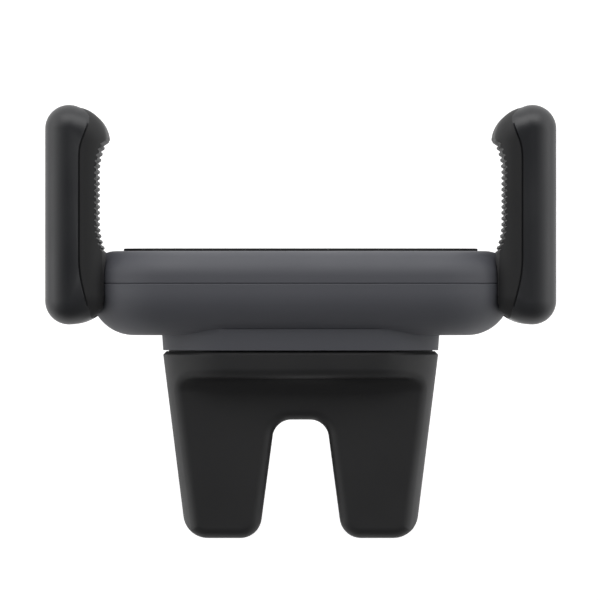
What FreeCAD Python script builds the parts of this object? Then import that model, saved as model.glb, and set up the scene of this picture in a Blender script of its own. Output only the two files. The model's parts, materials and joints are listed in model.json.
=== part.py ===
import FreeCAD, Part
import math
import os
import re

import Sketcher
from FreeCAD import Placement, Rotation, Vector

# Air vent phone holder with two spring-closed side arms and a forked vent clip.
# Frame: +Z is up the phone, -Y looks at the driver, +Y goes into the vent.
# The origin is the middle of the slot that closes on the vent blade.
# The right arm is the one at +X; the left arm is the same arm turned half a turn about Y.

# Driving sizes in millimetres and degrees: (name, value, meaning)
SIZES = [
    ("clip_reach", 17.4, "slot centre to the front face of the clip block"),
    ("clip_width", 43.9, "clip block across at its front face"),
    ("clip_tip_width", 36.6, "fork across at its prong tips"),
    ("clip_height", 29.2, "clip block from top to bottom"),
    ("clip_corner", 10.4, "corner radius of the clip block and of the neck"),
    ("fork_length", 12.3, "slot centre to the prong tips"),
    ("fork_tip_corner", 4.0, "corner radius of a prong tip"),
    ("fork_inner_corner", 3.4, "corner radius between a prong tip and the notch"),
    ("notch_floor", 10.85, "front face of the clip block to the bottom of the notch"),
    ("notch_width", 8.24, "notch across at its bottom, if its corners were sharp"),
    ("notch_tip_width", 13.24, "notch across at the prong tips"),
    ("notch_corner", 3.0, "radius at the bottom of the notch"),
    ("jaw_face", 9.6, "slot centre to the flat outer face of a jaw"),
    ("jaw_step", 4.3, "front face of the clip block to the jaw's step"),
    ("jaw_step_radius", 2.2, "hollow at the foot of the jaw's step"),
    ("jaw_edge", 1.7, "rounded edge round the flat face of a jaw and over its step"),
    ("lead_in", 0.8, "bevel at the mouth of the slot"),
    ("front_edge", 0.5, "bevelled front edge of the clip block"),
    ("jaw_gap", 1.8, "gap between the two bare jaws"),
    ("lining_gap", 1.0, "gap between the two rubber linings, closed"),
    ("lining_recess", 0.8, "depth of a lining's seat in its jaw"),
    ("lining_margin", 1.9, "bare jaw round a lining"),
    ("lining_start", 12.8, "front face of the clip block to a lining"),
    ("ridge_height", 0.45, "height of the ridges across a lining"),
    ("ridge_width", 0.8, "width of the ridges across a lining"),
    ("ridge_pitch", 2.4, "spacing of the ridges across a lining"),
    ("ridge_count", 5, "ridges across a lining"),
    ("hinge_inset", 8.0, "front face of the clip block to the jaw hinge"),
    ("hinge_pin", 3.0, "diameter of the jaw hinge pin"),
    ("pin_clear", 0.05, "running clearance round the jaw hinge pin"),
    ("pin_length", 37.0, "length of the jaw hinge pin"),
    ("knuckle", 8.0, "diameter of the hinge knuckles"),
    ("knuckle_clear", 0.3, "gap round and beside a knuckle"),
    ("rocker_width", 28.4, "rocker's barrel and press plate across"),
    ("rocker_turn", 11.2, "front face of the clip block to where the rocker turns down"),
    ("barrel_start", 50, "angle at which the barrel leaves the rocker's inner face"),
    ("barrel_end", 250, "angle at which the barrel runs into the press plate's web"),
    ("slot_root_angle", 63, "angle of the slot's root seen from the hinge"),
    ("lever_plate", 2.9, "thickness of the press plate"),
    ("lever_inset", 3.2, "front face of the clip block to the end of the press plate"),
    ("lever_step", 8.4, "front face of the clip block to the step behind the press plate"),
    ("lever_travel_room", 3.2, "free height over the press plate"),
    ("skirt_wall", 1.2, "front wall of the frame beside the press plate"),
    ("coil_width", 8.0, "length of the jaw spring's coil"),
    ("coil_wire", 0.7, "wire of the jaw spring"),
    ("coil_gap", 0.3, "gap between the coil and the pin"),
    ("leg_reach", 6.0, "leg of the jaw spring from the hinge"),
    ("swivel_gap", 0.2, "shadow gap between neck and clip"),
    ("swivel_play", 0.06, "play between the neck and the land it turns on"),
    ("land_inset", 0.9, "land inside the edge of the clip block"),
    ("spigot", 12.0, "diameter of the swivel spigot"),
    ("spigot_clear", 0.05, "running clearance round the spigot"),
    ("swivel_washer", 17.0, "diameter of the swivel washer"),
    ("washer_thick", 1.0, "thickness of the swivel washer"),
    ("wave_height", 0.8, "height of the wave washer as fitted"),
    ("swivel_head", 6.4, "head of the swivel screw"),
    ("swivel_head_height", 1.8, "head height of the swivel screw"),
    ("swivel_shank", 3.0, "shank of the swivel screw"),
    ("swivel_length", 9.0, "length of the swivel screw under its head"),
    ("neck_length", 2.4, "neck from the body to the shadow gap"),
    ("neck_draft", 4.0, "draft angle of the neck"),
    ("body_width", 67.0, "holder body across"),
    ("body_height", 36.0, "holder body from top to bottom"),
    ("body_corner", 12.0, "corner radius of the body, seen from the driver"),
    ("rear_depth", 8.2, "rear shell from the parting line to its back"),
    ("front_depth", 5.2, "front shell from the parting line to its face"),
    ("back_round", 6.9, "rounded back edge of the body"),
    ("front_round", 4.0, "rounded front edge of the body"),
    ("wall", 2.0, "wall of both shells"),
    ("front_wall", 2.4, "front face of the front shell"),
    ("pad_side", 5.3, "rubber front pad inside the end of the body"),
    ("pad_end", 4.6, "rubber front pad inside the top of the body"),
    ("pad_corner", 7.5, "corner radius of the front pad"),
    ("pad_thick", 1.0, "thickness of the front pad"),
    ("pad_proud", 0.4, "front pad above the shell face"),
    ("parting_groove", 0.14, "depth of the shadow line at the parting"),
    ("screw_x", 20.4, "shell screws from the middle, across"),
    ("screw_z", 11.0, "shell screws from the middle, up and down"),
    ("screw_shank", 1.8, "shank of the shell screws"),
    ("screw_head", 3.8, "head of the shell screws"),
    ("screw_head_height", 1.3, "head height of the shell screws"),
    ("screw_length", 7.6, "length of the shell screws under the head"),
    ("boss", 4.4, "diameter of the shell screw bosses"),
    ("seat_thick", 0.8, "spring seat on a boss"),
    ("slide_thick", 4.0, "thickness of the two slides"),
    ("rail_height", 0.5, "guide rails on the front shell"),
    ("slide_clear", 0.1, "clearance of the slides in their guides"),
    ("slot_clear", 0.2, "clearance of the tongues in the end slots"),
    ("tongue_width", 16.4, "slide tongue from top to bottom"),
    ("tongue_start", 19.0, "middle of the holder to the start of the tongue"),
    ("gear_module", 0.8, "module of the pinion and the racks"),
    ("gear_teeth", 14, "teeth of the pinion"),
    ("gear_backlash", 0.16, "play between the teeth at the pitch line"),
    ("pressure_angle", 20, "pressure angle of the teeth"),
    ("rack_end", 18.0, "rack's free end past the middle of the holder"),
    ("rack_bar", 1.8, "rack bar behind its teeth"),
    ("rack_teeth", 9, "teeth of each rack"),
    ("rack_lead", 6, "rack teeth past the middle of the holder, arms closed"),
    ("rack_addendum", 0.6, "rack teeth above the pitch line"),
    ("rail_start", 10.0, "middle of the holder to the guide rails"),
    ("rail_low", 5.4, "middle of the holder up to a guide rail"),
    ("rail_width", 1.4, "width of a guide rail"),
    ("spindle", 5.0, "moulded spindle that carries the pinion"),
    ("spindle_clear", 0.06, "running clearance of the pinion"),
    ("pinion_head", 5.8, "head of the pinion screw"),
    ("pinion_head_height", 1.0, "head height of the pinion screw"),
    ("pinion_screw_length", 3.6, "length of the pinion screw under its head"),
    ("tab_inner", 16.0, "outer face of the spring tab from the middle"),
    ("tab_thick", 2.0, "thickness of the spring tab"),
    ("spring_coil", 3.4, "outer diameter of an arm spring"),
    ("spring_wire", 0.45, "wire of an arm spring"),
    ("nub", 2.1, "nub that centres an arm spring"),
    ("nub_length", 1.2, "length of a spring nub"),
    ("grip_inset", 1.1, "grip ribs inside the end of the body, arms closed"),
    ("arm_depth", 8.2, "arm across, from the grip ribs to its outer face"),
    ("arm_reach", 23.2, "arm in front of the shell face"),
    ("arm_heel", 1.7, "arm's heel in front of the back of the body"),
    ("arm_height", 30.6, "arm from top to bottom"),
    ("arm_round", 3.8, "corner radius of the arm's outline"),
    ("arm_edge", 3.6, "rounded outer edges of the arm"),
    ("heel_round", 7.1, "wider curve of the arm's heel"),
    ("grip_thick", 2.6, "rubber grip from its ribs to the seam"),
    ("seam_top_angle", 31.2, "where the seam leaves the arm's rounded end"),
    ("seam_lean", 21.0, "lean of the seam at the arm's front end"),
    ("seam_heel_lean", 13.5, "lean of the seam at the arm's heel"),
    ("seam_start", 0.6, "straight part of the seam at the arm's front end"),
    ("seam_turn", 3.0, "first bend of the seam at the arm's front end"),
    ("seam_blend", 8.0, "blend of the seam into its straight part"),
    ("seam_heel_blend", 20.0, "blend of the seam towards the heel"),
    ("seam_groove", 0.3, "width of the shadow groove along the seam"),
    ("groove_depth", 0.5, "depth of the shadow groove along the seam"),
    ("seam_heel_start", 10.7, "straight part of the seam from the arm's heel"),
    ("kink_angle", 59.4, "where the seam meets the hollow before the hook"),
    ("hollow_round", 2.0, "hollow between the arm's rounded end and its hook"),
    ("hook_round", 5.38, "outer radius of the hook"),
    ("hook_reach", 1.7, "hook tip inside the grip ribs"),
    ("hook_drop", 5.7, "centre of the hook's curve from the arm's front end"),
    ("hook_tip", 0.5, "rounded tip of the hook"),
    ("hook_lean", 32.0, "lean of the hook's underside"),
    ("inner_corner", 3.65, "corner radius between the arm's inner side and its heel"),
    ("rib_height", 0.34, "height of a grip rib"),
    ("rib_count", 18, "number of grip ribs"),
    ("rib_pitch", 0.9376, "spacing of the grip ribs"),
    ("rib_last", 0.65, "last rib in front of the shell face"),
    ("hollow_front_start", 12.7, "where the grip face starts to curve to the hook, from the shell face"),
    ("hollow_back_start", 4.8, "where the grip face starts to curve to the lobe, from the shell face"),
    ("rib_tip", 0.34, "width of a rib at its crest"),
    ("rib_foot", 0.8, "width of a rib at its foot"),
    ("face_hollow_front", 10.4, "curve of the grip face towards the hook"),
    ("face_hollow_back", 12.0, "curve of the grip face towards the lobe"),
    ("lobe_round", 15.0, "curve of the lobe"),
    ("lobe_flare", 0.4, "set-back of the lobe's front corner"),
    ("lobe_taper", 0.75, "set-back of the lobe's back corner"),
    ("lobe_corner", 3.0, "curve from the lobe to the heel"),
    ("arm_clear", 0.4, "gap between an arm and the body"),
    ("upright_width", 21.0, "slide upright inside the arm, top to bottom"),
    ("upright_thick", 2.4, "thickness of the slide upright"),
    ("upright_inset", 4.2, "upright's end from the arm's front end"),
    ("upright_foot", 0.8, "upright past the back of its tongue"),
    ("upright_screw", 3.4, "first arm screw in front of the slide"),
    ("arm_screw_pitch", 13.6, "spacing of the two arm screws"),
    ("arm_screw_shank", 1.8, "shank of an arm screw"),
    ("arm_screw_head", 3.6, "head of an arm screw"),
    ("arm_screw_head_height", 1.1, "head height of an arm screw"),
    ("arm_screw_length", 3.6, "length of an arm screw under its head"),
    ("recess_reach", 0.28, "arm of a screw's cross recess, as a share of its head"),
    ("recess_width", 0.14, "width of a screw's cross recess, as a share of its head"),
    ("fit", 0.05, "seat clearance between fixed pieces"),
]

doc = FreeCAD.newDocument("vent_phone_holder")
sheet = doc.addObject("Spreadsheet::Sheet", "dims")
for row, (name, value, meaning) in enumerate(SIZES, start=1):
    sheet.set(f"A{row}", str(value))
    sheet.setAlias(f"A{row}", name)
    sheet.set(f"B{row}", meaning)
doc.recompute()
NAMES = {name for name, _, _ in SIZES}


def bound(text):
    """The formula with each size's name pointing at its cell."""
    return re.sub(r"[a-z]\w*", lambda m: "dims." + m.group() if m.group() in NAMES else m.group(), text)


def value_of(text):
    """The number that a formula of the sizes gives now."""
    return float(sheet.evalExpression(bound(text)))


# Stations in front of the slot centre, measured towards the driver
NECK_END = "(clip_reach + swivel_gap)"
SHELL_BACK = f"({NECK_END} + neck_length)"
PARTING = f"({SHELL_BACK} + rear_depth)"
SHELL_FRONT = f"({PARTING} + front_depth)"
FRONT_INSIDE = f"({SHELL_FRONT} - front_wall)"
BACK_INSIDE = f"({SHELL_BACK} + wall)"
PAD_HALF_WIDTH = "(body_width / 2 - pad_side)"
PAD_HALF_HEIGHT = "(body_height / 2 - pad_end)"
PAD_SEAT = f"({SHELL_FRONT} - pad_thick + pad_proud)"
SLIDE_FRONT = f"({FRONT_INSIDE} - rail_height - slide_clear)"
SLIDE_BACK = f"({SLIDE_FRONT} - slide_thick)"
SLIDE_MIDDLE = f"({SLIDE_FRONT} - slide_thick / 2)"
SPINDLE_END = f"({SLIDE_BACK} + pinion_head_height + slide_clear)"
SPIGOT_END = f"({BACK_INSIDE} + wave_height)"
WASHER_END = f"({SPIGOT_END} + washer_thick)"
SWIVEL_HEAD_END = f"({WASHER_END} + swivel_head_height)"
HINGE_Y = "(clip_reach - hinge_inset)"
LEVER_END = "(clip_reach - lever_inset)"
LEVER_STEP = "(lever_step - clip_reach)"
JAW_STEP = "(jaw_step - clip_reach)"
LINING_BACK = "(lining_start - clip_reach)"
ROCKER_BACK = "(rocker_turn - clip_reach)"
ARM_FRONT = f"({SHELL_FRONT} + arm_reach)"
ARM_BACK = f"({SHELL_BACK} + arm_heel)"

# Stations across, from the middle of the holder
RIB_X = "(body_width / 2 - grip_inset)"
VALLEY_X = f"({RIB_X} + rib_height)"
SEAM_X = f"({RIB_X} + grip_thick)"
ARM_OUTER = f"({RIB_X} + arm_depth)"
KNOB_X = f"({ARM_OUTER} - arm_round)"
UPRIGHT_X = f"({SEAM_X} + upright_thick)"
PITCH_RADIUS = "(gear_module * gear_teeth / 2)"
RACK_BACK = f"({PITCH_RADIUS} + 1.25 * gear_module + rack_bar)"


def new_body(label):
    """A sub-part whose label names its file."""
    body = doc.addObject("PartDesign::Body", label)
    body.Label = label
    return body


def origin_plane(body, role):
    return next(item for item in body.Origin.OriginFeatures if item.Role == role)


def new_sketch(body, name, role, offset="0"):
    """A sketch on one of the body's own origin planes, moved along its normal."""
    sketch = body.newObject("Sketcher::SketchObject", name)
    sketch.AttachmentSupport = (origin_plane(body, role), [""])
    sketch.MapMode = "FlatFace"
    sketch.setExpression("AttachmentOffset.Base.z", bound(offset))
    return sketch


def pin_point(sketch, geometry, vertex, x, y):
    """Fixes one vertex by its two coordinates, each a formula of the sizes."""
    for kind, text, axis in (("DistanceX", x, -2), ("DistanceY", y, -1)):
        number = value_of(text)
        if abs(number) < 1e-9:
            sketch.addConstraint(Sketcher.Constraint("PointOnObject", geometry, vertex, axis))
            continue
        index = sketch.addConstraint(Sketcher.Constraint(kind, -1, 1, geometry, vertex, number))
        sketch.setExpression(f"Constraints[{index}]", bound(text))


def arc_between(start, end, radius):
    """The shorter arc of this radius: to the left where the radius is positive."""
    chord = end - start
    height = math.sqrt(max(radius * radius - chord.Length ** 2 / 4, 0.0))
    left = Vector(-chord.y, chord.x, 0).normalize()
    centre = (start + end) / 2 + left * math.copysign(height, radius)
    first, last = (start, end) if radius > 0 else (end, start)
    angles = [math.atan2(point.y - centre.y, point.x - centre.x) for point in (first, last)]
    circle = Part.Circle(centre, Vector(0, 0, 1), abs(radius))
    return Part.ArcOfCircle(circle, *angles)


def draw_outline(sketch, corners):
    """A closed outline. Each corner is (x, y) where a straight side follows it, and
    (x, y, radius) where an arc does, positive for one that turns left."""
    points = [Vector(value_of(c[0]), value_of(c[1]), 0) for c in corners]
    ends = []
    for i, corner in enumerate(corners):
        start, end = points[i], points[(i + 1) % len(points)]
        if len(corner) == 2:
            index = sketch.addGeometry(Part.LineSegment(start, end), False)
            ends.append((index, 1, 2))
            continue
        radius = value_of(corner[2])
        index = sketch.addGeometry(arc_between(start, end, radius), False)
        ends.append((index, 1, 2) if radius > 0 else (index, 2, 1))
        size = sketch.addConstraint(Sketcher.Constraint("Radius", index, abs(radius)))
        sketch.setExpression(f"Constraints[{size}]", bound(f"abs({corner[2]})"))
    for i, (index, first, last) in enumerate(ends):
        following, following_first, _ = ends[(i + 1) % len(ends)]
        sketch.addConstraint(Sketcher.Constraint("Coincident", index, last, following, following_first))
    for (index, first, _), corner in zip(ends, corners):
        pin_point(sketch, index, first, corner[0], corner[1])
    return sketch


def draw_circle(sketch, x, y, diameter):
    centre = Vector(value_of(x), value_of(y), 0)
    radius = value_of(diameter) / 2
    index = sketch.addGeometry(Part.Circle(centre, Vector(0, 0, 1), radius), False)
    size = sketch.addConstraint(Sketcher.Constraint("Radius", index, radius))
    sketch.setExpression(f"Constraints[{size}]", bound(f"({diameter}) / 2"))
    pin_point(sketch, index, 3, x, y)
    return sketch


def box_corners(x0, y0, x1, y1):
    return [(x0, y0), (x1, y0), (x1, y1), (x0, y1)]


def rounded_corners(half_x, half_y, radius):
    """A rounded rectangle about the sketch's origin, going round to the left."""
    x, y, r = f"({half_x})", f"({half_y})", f"({radius})"
    return [
        (f"-{x} + {r}", f"-{y}"), (f"{x} - {r}", f"-{y}", r),
        (x, f"-{y} + {r}"), (x, f"{y} - {r}", r),
        (f"{x} - {r}", y), (f"-{x} + {r}", y, r),
        (f"-{x}", f"{y} - {r}"), (f"-{x}", f"-{y} + {r}", r),
    ]


def feature(body, kind, name, sketch, length=None, reverse=False, symmetric=False):
    """A pad or a pocket of a sketch; with no length it cuts through all."""
    item = body.newObject(f"PartDesign::{kind}", name)
    item.Profile = sketch
    item.Reversed = reverse
    if symmetric:
        item.SideType = "Symmetric"
    if length is None:
        item.Type = "ThroughAll"
    else:
        item.setExpression("Length", bound(length))
    sketch.Visibility = False
    return item


def edges_where(shape, test):
    return [f"Edge{i}" for i, edge in enumerate(shape.Edges, start=1) if test(edge)]


def flat_at(axis, level):
    """A test for edges that lie in the plane where this axis has this value."""
    low, high = axis + "Min", axis + "Max"

    def test(edge):
        box = edge.BoundBox
        return abs(getattr(box, low) - level) < 0.01 and abs(getattr(box, high) - level) < 0.01

    return test


def round_edges(body, name, base, test, radius):
    """Rounds each edge of the base feature that passes the test."""
    doc.recompute()
    edges = edges_where(base.Shape, test)
    if not edges:
        raise ValueError(f"{name}: no edge to round")
    item = body.newObject("PartDesign::Fillet", name)
    item.Base = (base, edges)
    item.setExpression("Radius", bound(radius))
    return item


# The arm seen from above, closed, on the right: circles that its outline follows
KNOB_Y = f"(arm_round - {ARM_FRONT})"
HEEL_Y = f"(-{ARM_BACK} - arm_round)"
HEEL_ARC_Y = f"(-{ARM_BACK} - heel_round)"
INNER_X = f"({RIB_X} - hook_reach)"
HOOK_X = f"({INNER_X} + hook_round)"
HOOK_Y = f"(hook_drop - {ARM_FRONT})"

# Hollow between the arm's rounded end and its hook: a circle that touches both of theirs
CENTRES_X = f"({HOOK_X} - {KNOB_X})"
CENTRES_Y = f"({HOOK_Y} - {KNOB_Y})"
CENTRES = f"sqrt({CENTRES_X}^2 + {CENTRES_Y}^2)"
KNOB_REACH = "(arm_round + hollow_round)"
HOOK_REACH = "(hook_round + hollow_round)"
ALONG = f"(({KNOB_REACH}^2 - {HOOK_REACH}^2 + {CENTRES}^2) / (2 * {CENTRES}))"
ASIDE = f"sqrt({KNOB_REACH}^2 - {ALONG}^2)"
HOLLOW_X = f"({KNOB_X} + ({CENTRES_X} * {ALONG} - {CENTRES_Y} * {ASIDE}) / {CENTRES})"
HOLLOW_Y = f"({KNOB_Y} + ({CENTRES_Y} * {ALONG} + {CENTRES_X} * {ASIDE}) / {CENTRES})"

# Corner between the arm's inner side and its heel
CORNER_X = f"({INNER_X} + inner_corner)"
CORNER_Y = f"({HEEL_ARC_Y} + sqrt((heel_round - inner_corner)^2 - ({KNOB_X} - {CORNER_X})^2))"


def towards(x0, y0, x1, y1, share):
    """The point this share of the way from the first point to the second."""
    return (f"({x0} + ({x1} - {x0}) * ({share}))", f"({y0} + ({y1} - {y0}) * ({share}))")


def arm_outline():
    """The whole arm's outline, smooth all round."""
    knob_end = towards(KNOB_X, KNOB_Y, HOLLOW_X, HOLLOW_Y, f"arm_round / {KNOB_REACH}")
    hook_start = towards(HOOK_X, HOOK_Y, HOLLOW_X, HOLLOW_Y, f"hook_round / {HOOK_REACH}")
    heel_start = towards(KNOB_X, HEEL_ARC_Y, CORNER_X, CORNER_Y, "heel_round / (heel_round - inner_corner)")
    return [
        (ARM_OUTER, HEEL_Y),
        (ARM_OUTER, KNOB_Y, "-arm_round"),
        (*knob_end, "hollow_round"),
        (*hook_start, "-hook_round"),
        (INNER_X, HOOK_Y),
        (INNER_X, CORNER_Y, "-inner_corner"),
        (*heel_start, "-heel_round"),
        (KNOB_X, f"-{ARM_BACK}", "-arm_round"),
    ]


# Seam between the hard cover and the rubber grip, from the arm's front end to its heel
KINK_X = f"({KNOB_X} - arm_round * cos(kink_angle))"
SEAM_1 = (f"({KNOB_X} - arm_round * cos(seam_top_angle))", f"({KNOB_Y} - arm_round * sin(seam_top_angle))")
BEND_X = f"({SEAM_1[0]} + seam_turn * (1 - cos(seam_lean)))"
BEND_Y = f"({SEAM_1[1]} + seam_start + seam_turn * sin(seam_lean))"
SEAM_2_X = f"({SEAM_X} - seam_blend * (1 - cos(seam_lean)))"
SEAM_2_Y = f"({BEND_Y} + ({SEAM_2_X} - {BEND_X}) / tan(seam_lean))"
SEAM_3_Y = f"({SEAM_2_Y} + seam_blend * sin(seam_lean))"
SEAM_4_Y = f"(-{ARM_BACK} - seam_heel_start)"
SEAM_5_X = f"({SEAM_X} - seam_heel_blend * (1 - cos(seam_heel_lean)))"
SEAM_5_Y = f"({SEAM_4_Y} + seam_heel_blend * sin(seam_heel_lean))"


def seam_outline(shift="0"):
    """Everything on the grip's side of the seam; the shift moves the seam outwards."""
    return [
        (KINK_X, f"{KNOB_Y} - arm_round * sin(kink_angle)", "-arm_round"),
        (SEAM_1[0], SEAM_1[1]),
        (f"{SEAM_1[0]} + {shift}", f"{SEAM_1[1]} + seam_start", "-seam_turn"),
        (f"{BEND_X} + {shift}", BEND_Y),
        (f"{SEAM_2_X} + {shift}", SEAM_2_Y, "seam_blend"),
        (f"{SEAM_X} + {shift}", SEAM_3_Y),
        (f"{SEAM_X} + {shift}", SEAM_4_Y, "seam_heel_blend"),
        (f"{SEAM_5_X} + {shift}", SEAM_5_Y),
        (f"{SEAM_5_X} - 2 * seam_heel_start * tan(seam_heel_lean)", f"{SEAM_5_Y} + 2 * seam_heel_start"),
        (f"{INNER_X} - arm_depth", f"{SEAM_5_Y} + 2 * seam_heel_start"),
        (f"{INNER_X} - arm_depth", f"-{ARM_FRONT} - arm_round"),
        (KINK_X, f"-{ARM_FRONT} - arm_round"),
    ]


def face_curve(y):
    """How far out the grooves of the grip lie at this y."""
    front = value_of(f"-{SHELL_FRONT} - hollow_front_start") - y
    back = y - value_of(f"-{SHELL_FRONT} - hollow_back_start")
    inset = 0.0
    for past, radius in ((front, value_of("face_hollow_front")), (back, value_of("face_hollow_back"))):
        if past > 0:
            inset += radius - math.sqrt(radius ** 2 - past ** 2)
    return value_of(VALLEY_X) - inset


def grip_points():
    """Foot, crest, crest and foot of each grip rib, seen from above."""
    pitch, height = value_of("rib_pitch"), value_of("rib_height")
    tip, foot = value_of("rib_tip"), value_of("rib_foot")
    count = int(value_of("rib_count"))
    first = value_of(f"-{SHELL_FRONT} - rib_last") - pitch * (count - 1)
    points = []
    for number in range(count):
        middle = first + pitch * number
        for dy, out in ((-foot / 2, 0), (-tip / 2, height), (tip / 2, height), (foot / 2, 0)):
            points.append(Vector(face_curve(middle + dy) - out, middle + dy, 0))
    return points


def grip_face():
    """What the grip keeps of the arm: hook, ribs and lobe, closed well outside the arm."""
    ribs = grip_points()
    inner, front, back = value_of(INNER_X), -value_of(ARM_FRONT), -value_of(ARM_BACK)
    outside = value_of("arm_depth")
    lean, tip = math.radians(value_of("hook_lean")), value_of("hook_tip")
    across = Vector(math.cos(lean), math.sin(lean), 0)
    foot = ribs[0] - across * ((ribs[0].x - inner - tip * (1 - math.sin(lean))) / math.cos(lean))
    centre = foot + Vector(math.sin(lean), -math.cos(lean), 0) * tip
    tip_end = Vector(inner, centre.y, 0)
    lobe_front = Vector(inner + value_of("lobe_flare"), value_of(f"-{SHELL_FRONT} + lobe_flare"), 0)
    lobe_back = Vector(inner + value_of("lobe_taper"), back - value_of("lobe_corner"), 0)
    lobe_end = lobe_back + Vector(value_of("lobe_corner") / 2, value_of("lobe_corner"), 0)
    edges = [
        arc_between(tip_end, foot, tip).toShape(),
        Part.LineSegment(foot, ribs[0]).toShape(),
    ]
    edges += [Part.LineSegment(a, b).toShape() for a, b in zip(ribs, ribs[1:] + [lobe_front])]
    edges.append(arc_between(lobe_front, lobe_back, -value_of("lobe_round")).toShape())
    edges.append(arc_between(lobe_back, lobe_end, -value_of("lobe_corner")).toShape())
    loop = [
        lobe_end, Vector(lobe_end.x, back + outside, 0), Vector(inner + 2 * outside, back + outside, 0),
        Vector(inner + 2 * outside, front - outside, 0), Vector(inner - outside, front - outside, 0),
        Vector(inner - outside, tip_end.y, 0), tip_end,
    ]
    edges += [Part.LineSegment(a, b).toShape() for a, b in zip(loop, loop[1:])]
    return Part.Face(Part.Wire(Part.__sortEdges__(edges)))


def prism_body(label, outline, role="XY_Plane", length="2 * arm_height"):
    """A straight prism on both sides of an origin plane."""
    body = new_body(label)
    sketch = draw_outline(new_sketch(body, label + "_outline", role), outline)
    feature(body, "Pad", label + "_prism", sketch, length, symmetric=True)
    return body


def arm_form(label):
    """The whole arm as one smooth block, before it is parted into cover and grip."""
    body = new_body(label)
    sketch = draw_outline(new_sketch(body, label + "_outline", "XY_Plane"), arm_outline())
    block = feature(body, "Pad", label + "_block", sketch, "arm_height", symmetric=True)
    upper, lower = (flat_at("Z", value_of(f"{sign}arm_height / 2")) for sign in ("", "-"))
    round_edges(body, label + "_edges", block, lambda edge: upper(edge) or lower(edge), "arm_edge")
    return body


def combine(kind, label, base, tool):
    """One of Cut, Common and Fuse, as an object of the document."""
    item = doc.addObject("Part::" + kind, label)
    item.Label = label
    item.Base = base
    item.Tool = tool
    item.Refine = True
    return item


def body_form(label, grow="0"):
    """The outside of the holder's body, or the same grown by a gap."""
    body = new_body(label)
    half_width, half_height = (f"body_{size} / 2 + {grow}" for size in ("width", "height"))
    outline = rounded_corners(half_width, half_height, f"body_corner + {grow}")
    sketch = new_sketch(body, label + "_outline", "XZ_Plane", f"{SHELL_BACK} - {grow}")
    draw_outline(sketch, outline)
    block = feature(body, "Pad", label + "_block", sketch, f"rear_depth + front_depth + 2 * {grow}")
    back = value_of(f"{grow} - {SHELL_BACK}")
    front = value_of(f"-{SHELL_FRONT} - {grow}")
    rounded = round_edges(body, label + "_back", block, flat_at("Y", back), f"back_round + {grow}")
    round_edges(body, label + "_front", rounded, flat_at("Y", front), f"front_round + {grow}")
    return body


def upright_outline(gap="0"):
    """The plate of a slide inside its arm, seen from the side: y across and z up."""
    front = f"-{ARM_FRONT} + upright_inset - {gap}"
    back = f"-{SLIDE_BACK} + upright_foot + {gap}"
    half = f"(upright_width / 2 + {gap})"
    return box_corners(front, f"-{half}", back, half)


ARM_SCREW_Y = [
    f"(-{SLIDE_FRONT} - upright_screw)",
    f"(-{SLIDE_FRONT} - upright_screw - arm_screw_pitch)",
]


def arm_cover(side, turn):
    label = f"{side}_arm_cover"
    body = arm_form(label)
    seam = draw_outline(new_sketch(body, label + "_seam", "XY_Plane"), seam_outline())
    feature(body, "Pocket", label + "_parting", seam, "2 * arm_height", symmetric=True)
    for sign, reverse in (("", True), ("-", False)):
        groove = new_sketch(body, label + "_groove", "XY_Plane", f"{sign}(arm_height / 2 - groove_depth)")
        draw_outline(groove, seam_outline("seam_groove"))
        feature(body, "Pocket", label + "_groove_cut", groove, "arm_height", reverse=reverse)
    seat = draw_outline(new_sketch(body, label + "_seat", "YZ_Plane", SEAM_X), upright_outline("fit"))
    feature(body, "Pocket", label + "_seat_cut", seat, "upright_thick + fit", reverse=True)
    slot, half = new_sketch(body, label + "_slot", "YZ_Plane", SEAM_X), "(tongue_width / 2 + fit)"
    draw_outline(slot, box_corners(f"-{SLIDE_FRONT} - fit", f"-{half}", f"-{SLIDE_BACK} + fit", half))
    feature(body, "Pocket", label + "_slot_cut", slot, "grip_thick")
    depth = "arm_screw_head_height + arm_screw_length + fit"
    for number, y in enumerate(ARM_SCREW_Y, start=1):
        hole = new_sketch(body, f"{label}_hole_{number}", "YZ_Plane", SEAM_X)
        draw_circle(hole, y, "0", "arm_screw_shank")
        feature(body, "Pocket", f"{label}_hole_cut_{number}", hole, depth, reverse=True)
    body.Placement = turn
    return body


def arm_grip(side, turn):
    label = f"{side}_arm_grip"
    face = doc.addObject("Part::Feature", label + "_face")
    depth = value_of("2 * arm_height")
    solid = grip_face().extrude(Vector(0, 0, depth))
    solid.translate(Vector(0, 0, -depth / 2))
    face.Shape = solid
    seam = prism_body(label + "_seam", seam_outline())
    blank = combine("Common", label + "_blank", arm_form(label + "_form"), seam)
    ribbed = combine("Common", label + "_ribbed", blank, face)
    hugging = combine("Cut", label + "_hugging", ribbed, body_form(label + "_room", "arm_clear"))
    slot = prism_body(
        label + "_slot",
        box_corners("tongue_start", "-tongue_width / 2 - fit", f"{UPRIGHT_X}", "tongue_width / 2 + fit"),
        "XZ_Plane",
    )
    grip = combine("Cut", label, hugging, slot)
    grip.Placement = turn
    return grip


def slide_outline():
    """A slide without its teeth, seen from behind: rack bar, spring tab and tongue."""
    tab_top = "(screw_z + spring_coil / 2)"
    tongue = "(tongue_width / 2)"
    root = f"({PITCH_RADIUS} + 1.25 * gear_module)"
    return [
        ("-rack_end", root),
        ("tongue_start", root),
        ("tongue_start", f"-{tongue}"),
        (UPRIGHT_X, f"-{tongue}"),
        (UPRIGHT_X, tongue),
        ("tongue_start + rack_bar", tongue),
        ("tongue_start", RACK_BACK),
        ("-tab_inner + tab_thick", RACK_BACK),
        ("-tab_inner + tab_thick", tab_top),
        ("-tab_inner", tab_top),
        ("-tab_inner", RACK_BACK),
        ("-rack_end", RACK_BACK),
    ]


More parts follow.
